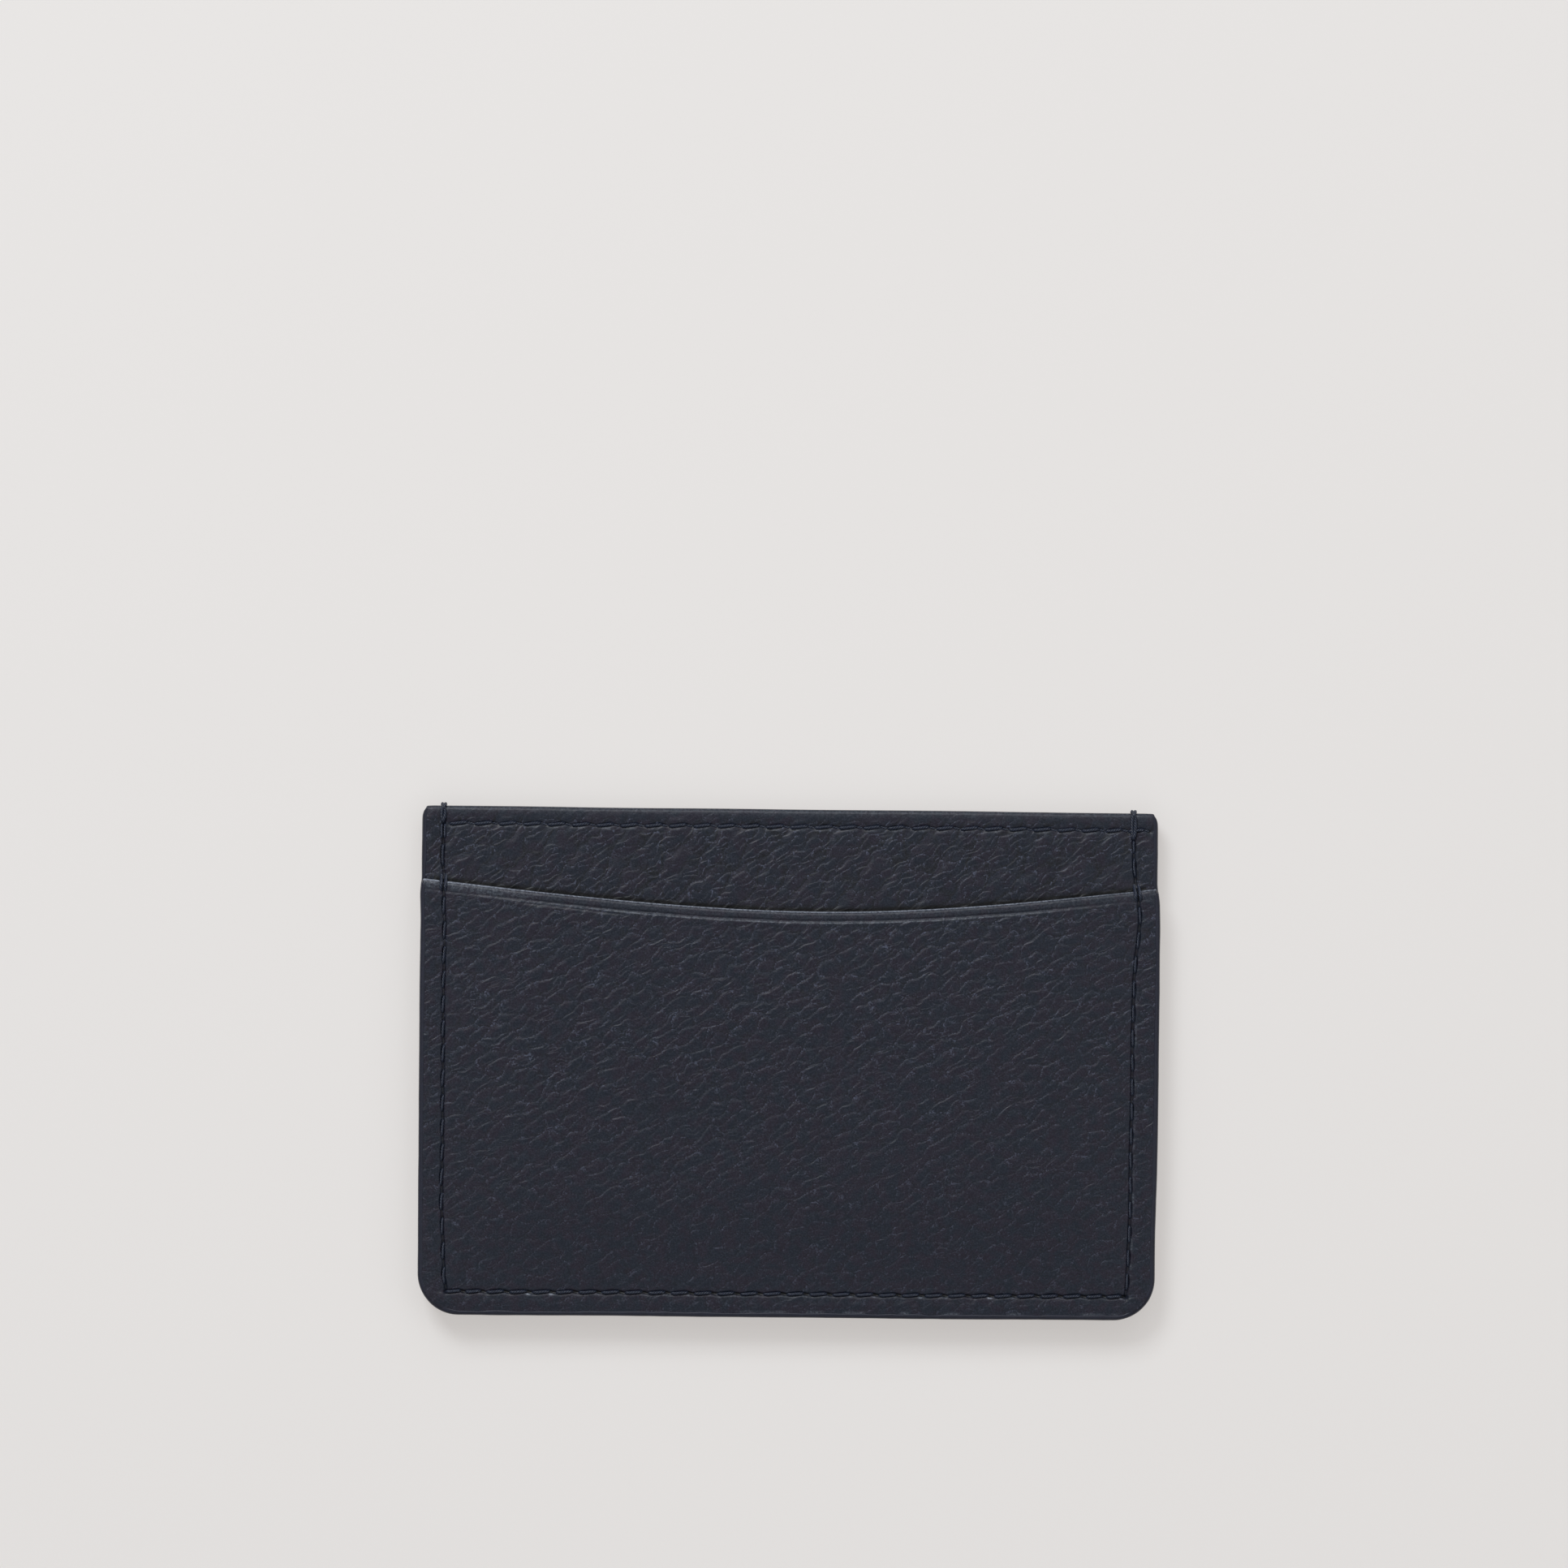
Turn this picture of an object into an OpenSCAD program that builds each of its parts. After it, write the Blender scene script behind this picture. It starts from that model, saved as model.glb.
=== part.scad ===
// Leather card holder: a pocket on each side of a body with one central compartment.
// It lies on its back. +X is across, +Y towards the open top edge, +Z out of the front.

/* [Holder] */
// Width over the coated side edges
holder_w = 101; // [84:1:130]
// Height from the coated bottom edge to the folded top edge
holder_h = 69.5; // [56:0.5:100]
// Radius of the two bottom corners
corner_r = 5; // [2:0.5:10]

/* [Layers] */
// Thickness of each leather panel
leather_t = 0.8; // [0.75:0.05:1.4]
// Thickness of the woven lining glued inside each panel
lining_t = 0.1; // [0.1:0.05:0.3]
// Height of the space between two layers, which takes a card
slot_gap = 0.8; // [0.6:0.05:2]

/* [Pocket mouth] */
// Distance from the top edge down to the mouth at the sides
mouth_drop = 10; // [7:0.1:16]
// How much lower the mouth is in the middle than at the sides
mouth_dip = 4.1; // [1:0.1:10]

/* [Turned edges] */
// Width of the leather turned in along the top edge and the mouths
turn_w = 6; // [4:0.5:9]
// Thickness of the pared leather that is turned in
flap_t = 0.35; // [0.3:0.05:0.4]
// Thickness of the tape inside the fold
tape_t = 0.1; // [0.05:0.05:0.15]
// Leather left around the fold above the tape
fold_w = 0.5; // [0.3:0.1:1]
// Width of the seam where the turned leather ends
flap_gap = 0.1; // [0.05:0.05:0.3]

/* [Stitching] */
// Thickness of the needle thread, which shows on the front
needle_t = 0.45; // [0.3:0.05:0.6]
// Thickness of the bobbin thread, which shows on the back
bobbin_t = 0.25; // [0.15:0.05:0.3]
// Stitch length down the sides and along the top edge
stitch_l = 3.35; // [2.4:0.05:4.5]
// Stitch length along the bottom
bottom_stitch_l = 3.15; // [2.4:0.05:4.5]
// Distance from the coated edge to the seam
seam_margin = 3.3; // [2.5:0.1:6]
// Distance from the top edge to the stitch line of the turned edge
hem_margin = 2.35; // [1.5:0.05:2.8]
// Length that the line of the turned edge runs past the right seam
hem_overrun = 2.2; // [1.5:0.1:2.4]
// Depth that the needle thread pulls into the leather
needle_sink = 0.2; // [0.1:0.05:0.25]
// Room around a thread in its hole and its groove
thread_room = 0.06; // [0.03:0.01:0.1]
// Distance from the middle of a hole to the end of each stitch
stitch_gap = 0.06; // [0.03:0.01:0.1]

/* [Edge coat] */
// Thickness of the coat on the cut edges below the mouths
coat_t = 0.35; // [0.2:0.05:0.6]

/* [Hidden] */
$fn = 48;
mouth_fn = 720;

leather_colour = [0.19, 0.2, 0.23];
lining_colour = [0.11, 0.12, 0.15];
tape_colour = [0.75, 0.73, 0.68];
thread_colour = [0.14, 0.15, 0.18];
coat_colour = [0.16, 0.18, 0.24];

// The thread wraps over the top edge, so it is the highest point in Y.
top_y = (holder_h - needle_t) / 2;
bottom_y = top_y - holder_h;
leather_bottom_y = bottom_y + coat_t;
leather_w = holder_w - 2 * coat_t;
leather_corner_r = corner_r - coat_t;

// Each half is measured out from the middle of the central compartment.
panel_lining_z = slot_gap / 2;
panel_z = panel_lining_z + lining_t;
panel_face_z = panel_z + leather_t;
pocket_lining_z = panel_face_z + slot_gap;
pocket_z = pocket_lining_z + lining_t;
pocket_face_z = pocket_z + leather_t;

// The mouth is an arc through both side edges and the low point in the middle.
mouth_side_y = top_y - mouth_drop;
mouth_r = (pow(holder_w / 2, 2) + pow(mouth_dip, 2)) / (2 * mouth_dip);
mouth_centre_y = mouth_side_y - mouth_dip + mouth_r;
function mouth_y(x) = mouth_centre_y - sqrt(pow(mouth_r, 2) - pow(x, 2));

// Stitch holes: one line down each side, one along the bottom.
hole_d = needle_t * sqrt(2) + 2 * thread_room;
groove_w = needle_t + 2 * thread_room;
seam_x = holder_w / 2 - seam_margin;
seam_bottom_y = bottom_y + seam_margin;
mouth_hole_y = mouth_y(seam_x) + hole_d / 2 + thread_room;
upper_count = max(1, round((top_y - mouth_hole_y) / stitch_l));
lower_count = max(1, round((mouth_hole_y - seam_bottom_y) / stitch_l));
bottom_count = max(1, round(2 * seam_x / bottom_stitch_l));
upper_ys = spaced(top_y, mouth_hole_y, upper_count);
lower_ys = spaced(mouth_hole_y, seam_bottom_y, lower_count);
bottom_xs = spaced(-seam_x, seam_x, bottom_count);

// Holes along the turned edge start beside the left seam and run past the right one.
hem_y = top_y - hem_margin;
hem_start_x = -seam_x + hole_d + thread_room;
hem_stop_x = seam_x - hole_d - thread_room;
hem_count = max(1, round((hem_stop_x - hem_start_x) / stitch_l));
hem_xs = concat(spaced(hem_start_x, hem_stop_x, hem_count), [seam_x + hem_overrun]);

function spaced(first, last, count) = [for (i = [0:count]) first + (last - first) * i / count];
function after_first(list) = [for (i = [1:len(list) - 1]) list[i]];

// ---- flat shapes ----

// An outline with square top corners and round bottom ones.
module outline(w, low_y, high_y, r) {
    translate([-w / 2, low_y + r]) square([w, high_y - low_y - r]);
    translate([-w / 2 + r, low_y]) square([w - 2 * r, high_y - low_y]);
    for (side = [-1, 1]) translate([side * (w / 2 - r), low_y + r]) circle(r = r);
}

module leather_outline(high_y) {
    outline(leather_w, leather_bottom_y, high_y, leather_corner_r);
}

// What lies above a line that follows the mouth at a distance below it.
module above_mouth(distance) {
    translate([0, mouth_centre_y]) circle(r = mouth_r + distance, $fn = mouth_fn);
}

module seam_holes(side_ys) {
    for (x = [-seam_x, seam_x], y = side_ys) translate([x, y]) circle(d = hole_d);
    for (i = [1:bottom_count - 1]) translate([bottom_xs[i], seam_bottom_y]) circle(d = hole_d);
}

module hem_holes() {
    for (x = hem_xs) translate([x, hem_y]) circle(d = hole_d);
}

module body_holes() {
    seam_holes(concat(after_first(upper_ys), after_first(lower_ys)));
    hem_holes();
}

module pocket_holes() {
    seam_holes(after_first(lower_ys));
}

module mouth_shape(distance) {
    difference() {
        leather_outline(mouth_side_y);
        above_mouth(distance);
        pocket_holes();
    }
}

// ---- grooves that the threads lie in ----

module groove(x1, y1, x2, y2, w, depth, face_z) {
    translate([min(x1, x2) - w / 2, min(y1, y2) - w / 2, face_z - depth])
        cube([abs(x2 - x1) + w, abs(y2 - y1) + w, 2 * depth]);
}

module pocket_grooves(depth) {
    double_w = groove_w + needle_t;
    for (side = [-1, 1]) {
        x = side * seam_x;
        groove(x, seam_bottom_y, x, mouth_hole_y, groove_w, depth, pocket_face_z);
        groove(x, lower_ys[1], x, mouth_hole_y, double_w, depth, pocket_face_z);
    }
    groove(-seam_x, seam_bottom_y, seam_x, seam_bottom_y, groove_w, depth, pocket_face_z);
}

module panel_grooves(depth) {
    for (side = [-1, 1])
        groove(side * seam_x, upper_ys[1], side * seam_x, mouth_hole_y, groove_w, depth, panel_face_z);
    groove(hem_xs[0], hem_y, hem_xs[len(hem_xs) - 1], hem_y, groove_w, needle_sink, panel_face_z);
    translate([0, 0, 2 * panel_z])
        groove(hem_xs[0], hem_y, hem_xs[len(hem_xs) - 1], hem_y, groove_w, bobbin_t, -panel_z);
}

// ---- one half of the holder, its outer face towards +Z ----

module panel_leather(depth) {
    difference() {
        translate([0, 0, panel_z]) linear_extrude(leather_t) difference() {
            leather_outline(top_y);
            body_holes();
        }
        translate([-holder_w / 2, top_y - turn_w - flap_gap, panel_z + flap_t])
            cube([holder_w, turn_w + flap_gap - fold_w, tape_t]);
        translate([-holder_w / 2, top_y - turn_w - flap_gap, panel_z - flap_t])
            cube([holder_w, flap_gap, 2 * flap_t + tape_t / 2]);
        panel_grooves(depth);
    }
}

module panel_tape() {
    translate([0, 0, panel_z + flap_t]) linear_extrude(tape_t) difference() {
        translate([-leather_w / 2, top_y - turn_w]) square([leather_w, turn_w - fold_w]);
        body_holes();
    }
}

module panel_lining() {
    translate([0, 0, panel_lining_z]) linear_extrude(lining_t) difference() {
        leather_outline(top_y - turn_w);
        body_holes();
    }
}

module pocket_leather(depth) {
    difference() {
        translate([0, 0, pocket_z]) linear_extrude(leather_t) mouth_shape(0);
        translate([0, 0, pocket_z + flap_t]) linear_extrude(tape_t)
            mouth_band(fold_w, turn_w + flap_gap);
        translate([0, 0, pocket_z - flap_t]) linear_extrude(2 * flap_t + tape_t / 2)
            mouth_band(turn_w, turn_w + flap_gap);
        pocket_grooves(depth);
    }
}

// A band that follows the mouth, between two distances below it.
module mouth_band(near, far) {
    intersection() {
        translate([-holder_w / 2, bottom_y]) square([holder_w, holder_h]);
        difference() {
            above_mouth(far);
            above_mouth(near);
        }
    }
}

module pocket_tape() {
    translate([0, 0, pocket_z + flap_t]) linear_extrude(tape_t) intersection() {
        mouth_shape(fold_w);
        above_mouth(turn_w);
    }
}

module pocket_lining() {
    translate([0, 0, pocket_lining_z]) linear_extrude(lining_t) mouth_shape(turn_w);
}

// ---- threads ----

// One run of thread seen from its side: a round-ended stitch between each two holes,
// and a leg down each hole. run holds the places of the holes, high is the stitches'
// upper side and low is the end of the legs.
module thread_profile(run, t, high, low) {
    for (i = [0:len(run) - 2]) {
        left = min(run[i], run[i + 1]) + stitch_gap;
        right = max(run[i], run[i + 1]) - stitch_gap;
        for (x = [left + t / 2, right - t / 2]) translate([x, high - t / 2]) circle(d = t);
        translate([left + t / 2, high - t]) square([right - left - t, t]);
    }
    for (x = run) translate([x - t / 2, low]) square([t, high - t / 2 - low]);
}

module run_along_x(run, y, t, w, high, low) {
    translate([0, y + w / 2, 0]) rotate([90, 0, 0]) linear_extrude(w) thread_profile(run, t, high, low);
}

module run_along_y(run, x, t, w, high, low) {
    translate([x + w / 2, 0, 0]) rotate([90, 0, -90]) linear_extrude(w)
        thread_profile([for (y = run) -y], t, high, low);
}

// The perimeter thread of one half. Its legs meet the other half's in the middle.
// The first stitch wraps the top edge and passes over the thread of the turned edge.
module seam_run(t, sink) {
    wrap_y = top_y + t / 2;
    wrap_high = panel_face_z - needle_sink + needle_t + t;
    upper_high = panel_face_z - sink + t;
    lower_high = pocket_face_z - sink + t;
    for (side = [-1, 1]) {
        x = side * seam_x;
        run_along_y([wrap_y, upper_ys[1]], x, t, t, wrap_high, 0);
        if (upper_count > 1) run_along_y(after_first(upper_ys), x, t, t, upper_high, 0);
        run_along_y(lower_ys, x, t, t, lower_high, 0);
        double_stitch(upper_ys[1], wrap_y, x, t, wrap_high);
        double_stitch(lower_ys[1], lower_ys[0], x, t, lower_high);
        translate([x - t, top_y, 0]) cube([2 * t, t, wrap_high - t / 2]);
    }
    run_along_x(bottom_xs, seam_bottom_y, t, t, lower_high, 0);
}

// A second pass of thread laid beside the first, up to y2.
module double_stitch(y1, y2, x, t, high) {
    translate([x - t, y1 + t / 2, high - t]) cube([2 * t, y2 - y1 - t, t]);
}

// Threads of a turned edge: needle thread outside, bobbin thread inside.
module hem_needle() {
    run_along_x(hem_xs, hem_y, needle_t, needle_t, panel_face_z - needle_sink + needle_t, panel_z + flap_t);
}

module hem_bobbin() {
    translate([0, 0, 2 * panel_z + flap_t]) mirror([0, 0, 1])
        run_along_x(hem_xs, hem_y, bobbin_t, bobbin_t, panel_z + flap_t, panel_z);
}

// ---- the assembly: the back half is the front half turned over ----

module front_half() {
    translate([0, 0, pocket_face_z]) children();
}

module back_half() {
    translate([0, 0, pocket_face_z]) mirror([0, 0, 1]) children();
}

module front_pocket() { color(leather_colour) front_half() pocket_leather(needle_sink); }
module front_pocket_tape() { color(tape_colour) front_half() pocket_tape(); }
module front_pocket_lining() { color(lining_colour) front_half() pocket_lining(); }
module front_panel() { color(leather_colour) front_half() panel_leather(needle_sink); }
module front_panel_tape() { color(tape_colour) front_half() panel_tape(); }
module front_panel_lining() { color(lining_colour) front_half() panel_lining(); }
module back_panel_lining() { color(lining_colour) back_half() panel_lining(); }
module back_panel_tape() { color(tape_colour) back_half() panel_tape(); }
module back_panel() { color(leather_colour) back_half() panel_leather(bobbin_t); }
module back_pocket_lining() { color(lining_colour) back_half() pocket_lining(); }
module back_pocket_tape() { color(tape_colour) back_half() pocket_tape(); }
module back_pocket() { color(leather_colour) back_half() pocket_leather(bobbin_t); }
module front_hem_thread() { color(thread_colour) front_half() hem_needle(); }
module front_hem_bobbin() { color(thread_colour) front_half() hem_bobbin(); }
module back_hem_thread() { color(thread_colour) back_half() hem_needle(); }
module back_hem_bobbin() { color(thread_colour) back_half() hem_bobbin(); }
module seam_thread() { color(thread_colour) front_half() seam_run(needle_t, needle_sink); }
module seam_bobbin() { color(thread_colour) back_half() seam_run(bobbin_t, bobbin_t); }

// The coat runs round the sides and the bottom, over the edges of every layer.
module edge_coat() {
    color(coat_colour) linear_extrude(2 * pocket_face_z) difference() {
        outline(holder_w, bottom_y, mouth_side_y, corner_r);
        leather_outline(top_y);
    }
}

front_pocket();
front_pocket_tape();
front_pocket_lining();
front_panel();
front_panel_tape();
front_panel_lining();
back_panel_lining();
back_panel_tape();
back_panel();
back_pocket_lining();
back_pocket_tape();
back_pocket();
front_hem_thread();
front_hem_bobbin();
back_hem_thread();
back_hem_bobbin();
seam_thread();
seam_bobbin();
edge_coat();
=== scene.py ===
import math

import bmesh
import bpy
import numpy as np
from mathutils import Matrix, Vector, noise


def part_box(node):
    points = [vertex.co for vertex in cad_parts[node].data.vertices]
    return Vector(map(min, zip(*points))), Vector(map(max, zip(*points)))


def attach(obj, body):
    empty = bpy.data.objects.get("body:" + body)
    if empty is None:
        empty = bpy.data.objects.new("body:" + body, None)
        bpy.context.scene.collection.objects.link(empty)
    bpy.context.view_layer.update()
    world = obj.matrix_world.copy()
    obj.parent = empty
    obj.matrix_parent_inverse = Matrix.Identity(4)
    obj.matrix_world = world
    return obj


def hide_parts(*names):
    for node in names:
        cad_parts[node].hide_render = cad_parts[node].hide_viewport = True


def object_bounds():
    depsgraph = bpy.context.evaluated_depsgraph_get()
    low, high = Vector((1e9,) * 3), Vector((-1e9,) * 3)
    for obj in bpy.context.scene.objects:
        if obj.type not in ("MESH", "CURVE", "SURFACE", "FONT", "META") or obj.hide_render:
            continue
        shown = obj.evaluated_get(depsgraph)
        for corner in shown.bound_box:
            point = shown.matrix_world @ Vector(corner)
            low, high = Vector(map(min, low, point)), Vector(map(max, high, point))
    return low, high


# Lengths are in millimetres up to finishMesh(), which turns them into metres.
mm = 0.001

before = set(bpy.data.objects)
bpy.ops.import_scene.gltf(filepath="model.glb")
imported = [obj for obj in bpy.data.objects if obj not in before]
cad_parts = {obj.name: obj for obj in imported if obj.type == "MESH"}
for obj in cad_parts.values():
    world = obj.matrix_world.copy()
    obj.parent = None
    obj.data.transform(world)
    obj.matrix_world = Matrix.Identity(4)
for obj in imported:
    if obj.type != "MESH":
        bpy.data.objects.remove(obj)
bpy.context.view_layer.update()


def cadBox(node):
    low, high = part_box(node)
    return Vector(low) / mm, Vector(high) / mm


# Where things are, from the CAD.
coatLow, coatHigh = cadBox("edge_coat")
panelLow, panelHigh = cadBox("front_panel")
seamLow, seamHigh = cadBox("seam_thread")
hemLow, hemHigh = cadBox("front_hem_thread")

leatherHalfW = panelHigh.x
topY = panelHigh.y
leatherBottomY = panelLow.y
coatT = coatHigh.x - leatherHalfW
midZ = (coatLow.z + coatHigh.z) / 2
cadThreadT = seamHigh.y - topY
seamX = seamHigh.x - cadThreadT
seamBottomY = seamLow.y + cadThreadT / 2
hemY = (hemLow.y + hemHigh.y) / 2
hemStartX = hemLow.x + cadThreadT / 2
hemEndX = hemHigh.x - cadThreadT / 2
print("layout: seam at", round(seamX, 2), "hem at", round(hemY, 2), "middle", round(midZ, 2))

holder = {
    "cornerRadius": 5.75,
    "topCornerRadius": 0.8,
    "leatherT": 1.1,
    "paredT": 0.5,
    "turnWidth": 6.0,
    "cutRounding": 0.12,
    "edgePress": 0.12,
    "pressReach": 1.6,
    "liningT": 0.12,
    "tapeT": 0.07,
    # the mouth is bowed in the middle and straighter at its ends, and steeper on the right
    "mouthDepth": 13.85,
    "mouthBow": 4.3,
    "mouthReach": 33.0,
    "mouthShift": 4.0,
    "mouthRightShare": 1.17,
}

# Half heights above the middle of the holder, closed at the seams and eased open away from them.
layers = {
    "panelLining": {"closed": 0.12, "open": 0.30},
    "panel": {"closed": 1.22, "open": 1.40},
    "pocketLining": {"closed": 1.34, "open": 1.88},
    "pocket": {"closed": 2.44, "open": 2.94},
    "ease": 14.0,
}


def smooth(t):
    t = np.clip(t, 0.0, 1.0)
    return t * t * (3.0 - 2.0 * t)


def hump(distance, width):
    return np.exp(-((distance / width) ** 2))


def mouthY(x):
    off = (x - holder["mouthShift"]) / holder["mouthReach"]
    bow = holder["mouthBow"] * (np.sqrt(1.0 + off * off) - 1.0)
    return topY - holder["mouthDepth"] + bow * np.where(off > 0, holder["mouthRightShare"], 1.0)


def halfHeight(layer, x, y):
    ease = layers["ease"]
    opening = smooth((seamX - np.abs(x)) / ease) * smooth((y - seamBottomY) / ease)
    values = layers[layer]
    return values["closed"] + (values["open"] - values["closed"]) * opening


# Hand-made unevenness, in mm, the same for every layer because they are sewn together.
unevenness = {
    # how much, where it starts as a height from the top edge, and the length that it grows over
    "upperNarrowing": (0.2, -12.5, 3.0),
    "leftUpper": (0.22, -9.5, 2.5),
    "rightUpper": (0.30, -9.5, 2.5),
    # the same, going down from the top edge
    "rightSeamIn": (0.36, 6.0, 4.0),
    # the same, going up, down or sideways from the middle of the holder
    "upperShift": (0.2, 18.0, 8.0),
    "lowerNarrowing": (0.17, 6.0, 18.0),
    "foot": (0.40, 19.0, 13.0),
    "toe": (0.30, 29.2, 2.4),
    "sides": (1.0, 38.0, 11.0),
    "longEdges": (1.0, 24.0, 8.0),
    # how much, how close its waves are, and its seeds, left then right
    "edgeWobble": (0.08, 0.09, 8.6, 3.1),
    "seamWander": (0.14, 0.12, 1.7, 5.3),
    "longEdgeWobble": (0.07, 0.06, 4.4),
    # how much, how far below the top edge and how long
    "rightBulge": (0.8, 14.0, 5.5),
    # where the sewn margin starts inside the seam, its width and its most
    "margin": (0.6, 3.4, 1.3),
    "topPinch": 0.16,
    "pinchLength": 2.5,
    "rightFootShare": 0.45,
    "narrowingBias": 0.35,
    "seamReach": (3.0, 5.0),
    "cornerFade": 2.2,
    "bottomRise": 0.16,
    "bottomTilt": 0.0022,
}


def lineNoise(values, scale, seed):
    # noise along one direction, looked up from a fine table
    spots = np.arange(-70.0, 70.0, 0.5)
    table = [noise.noise(Vector((s * scale, seed, seed * 0.37))) for s in spots]
    return np.interp(values, spots, table)


def grown(name, distance):
    amount, start, length = unevenness[name]
    return amount * smooth((distance - start) / length)


def sideNoise(name, y, side):
    # noise up each side, not the same on the left and on the right
    amount, scale, leftSeed, rightSeed = unevenness[name]
    return amount * np.where(side > 0, lineNoise(y, scale, rightSeed), lineNoise(y, scale, leftSeed))


def handMade(x, y):
    side = np.sign(x)
    onRight = side > 0
    outer = grown("sides", np.abs(x))
    inside, width, most = unevenness["margin"]
    margin = np.clip((np.abs(x) - seamX + inside) / width, 0.0, most)
    pinchLength = unevenness["pinchLength"]
    pinch = unevenness["topPinch"] * smooth((y - (topY - pinchLength)) / pinchLength) ** 2
    moved = x - side * margin * (pinch + grown("upperNarrowing", y - topY))
    moved = moved + sideNoise("edgeWobble", y, side) * outer
    # the seam lines wander inside the edge
    outside, within = unevenness["seamReach"]
    reach = np.where(np.abs(x) > seamX, outside, within)
    near = np.clip(1.0 - np.abs(np.abs(x) - seamX) / reach, 0.0, 1.0)
    # the outline of the bottom corners stays round, whatever the seam does
    cornerR = holder["cornerRadius"]
    pastSide = np.clip(np.abs(x) - (leatherHalfW + coatT - cornerR), 0.0, None)
    pastBottom = np.clip((leatherBottomY - coatT + cornerR) - y, 0.0, None)
    near = near * smooth((cornerR - np.hypot(pastSide, pastBottom)) / unevenness["cornerFade"])
    amount, drop, length = unevenness["rightBulge"]
    bulge = amount * hump(y - (topY - drop), length) * onRight
    bulge = bulge - np.where(side < 0, grown("leftUpper", y - topY), grown("rightUpper", y - topY))
    foot = grown("foot", -y) + grown("toe", -y)
    bulge = bulge - side * foot * np.where(onRight, unevenness["rightFootShare"], 1.0)
    bulge = bulge - grown("rightSeamIn", topY - y) * onRight
    moved = moved + near * (bulge + sideNoise("seamWander", y, side))
    moved = moved - grown("upperShift", y)
    moved = moved - outer * grown("lowerNarrowing", -y) * (side + unevenness["narrowingBias"])
    # the top corners are rounded, and the long edges aren't quite straight
    r = holder["topCornerRadius"]
    a = np.clip((np.abs(x) - (leatherHalfW + coatT - r)) / r, 0.0, 1.0)
    b = np.clip((y - (topY - r)) / r, 0.0, 1.0)
    moved = moved - side * r * a * (1.0 - np.sqrt(1.0 - b * b / 2.0))
    lifted = y - r * b * (1.0 - np.sqrt(1.0 - a * a / 2.0))
    amount, scale, seed = unevenness["longEdgeWobble"]
    edge = grown("longEdges", y) - grown("longEdges", -y)
    lifted = lifted + amount * lineNoise(x, scale, seed) * edge
    rise = unevenness["bottomRise"] + unevenness["bottomTilt"] * x
    lifted = lifted + rise * grown("longEdges", -y)
    return moved, lifted


# Stitch rows: lengths in mm, and holes as drops from the top edge.
stitching = {
    "sideLength": 3.35,
    "bottomLength": 3.15,
    "hemLength": 3.35,
    "leftHoles": (0.0, 2.4, 5.2, 9.35),
    "leftDouble": 2,
    "rightHoles": (0.0, 3.7, 6.1, 9.75),
    "rightDouble": 1,
    "mouthStitch": 3.0,
    "slitShare": 0.3,
    "hemSlant": 0.17,
    "sideSlant": 0.07,
    "bottomSlant": 0.12,
}


def evenHoles(first, last, length):
    count = max(1, round(abs(last - first) / length))
    return np.linspace(first, last, count + 1)


def sideHoles(side):
    # holes up the side from the bottom corner to the mouth, then from the mouth to the top
    drops = stitching["leftHoles"] if side < 0 else stitching["rightHoles"]
    mouthHole = topY - drops[-1]
    low = evenHoles(seamBottomY, mouthHole - stitching["mouthStitch"], stitching["sideLength"])
    return np.append(low, mouthHole), np.array([topY - d for d in reversed(drops)])


lowerHoles = {side: sideHoles(side)[0] for side in (-1, 1)}
upperHoles = {side: sideHoles(side)[1] for side in (-1, 1)}
bottomHoles = evenHoles(-seamX, seamX, stitching["bottomLength"])
hemHoles = np.append(evenHoles(hemStartX, seamX - 0.8, stitching["hemLength"]), hemEndX)


def stitchLine(along, holes, slant):
    # how far a stitch lies off its line, its share of the way, and how much of a slit this is
    k = np.clip(np.searchsorted(holes, along) - 1, 0, len(holes) - 2)
    pitch = holes[k + 1] - holes[k]
    f = np.clip((along - holes[k]) / pitch, 0.0, 1.0)
    split = 1.0 - stitching["slitShare"]
    climb = slant * (2.0 * f / split - 1.0)
    fall = slant * (1.0 - 2.0 * (f - split) / (1.0 - split))
    offset = np.where(f < split, climb, fall)
    slit = smooth((f - split + 0.03) / 0.06) * smooth((1.0 - f) / 0.05)
    return offset, f, slit


grooves = {
    "hem": {"bedWidth": 0.26, "bedDepth": 0.13, "slitWidth": 0.13, "slitDepth": 0.36,
            "pullWidth": 1.1, "pullDepth": 0.05, "puff": 0.035, "shade": 0.36},
    "side": {"bedWidth": 0.21, "bedDepth": 0.26, "slitWidth": 0.19, "slitDepth": 0.40,
             "pullWidth": 1.3, "pullDepth": 0.10, "puff": 0.02, "shade": 0.52},
    "bottom": {"bedWidth": 0.25, "bedDepth": 0.22, "slitWidth": 0.18, "slitDepth": 0.40,
               "pullWidth": 1.3, "pullDepth": 0.09, "puff": 0.03, "shade": 0.42},
}


def stitchRelief(along, across, holes, slant, groove):
    offset, f, slit = stitchLine(along, holes, slant)
    d = across - offset
    ends = smooth((along - holes[0] + 0.4) / 0.4) * smooth((holes[-1] + 0.4 - along) / 0.4)
    bed = groove["bedDepth"] * hump(d, groove["bedWidth"]) * (1.0 - slit)
    cut = groove["slitDepth"] * hump(d, groove["slitWidth"]) * slit
    pull = groove["pullDepth"] * hump(across, groove["pullWidth"])
    puff = groove["puff"] * hump(np.abs(d) - 0.6, 0.3) * np.sin(np.pi * f) ** 2
    relief = (puff - bed - cut - pull) * ends
    # painted shade: near black in the needle slits and a shaded halo along the thread's bed
    paintedShade = ends * slit * hump(d, groove["slitWidth"] * 1.1)
    paintedShade = np.maximum(paintedShade, ends * groove["shade"] * hump(d, groove["bedWidth"] * 1.35))
    return relief, paintedShade


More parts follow.
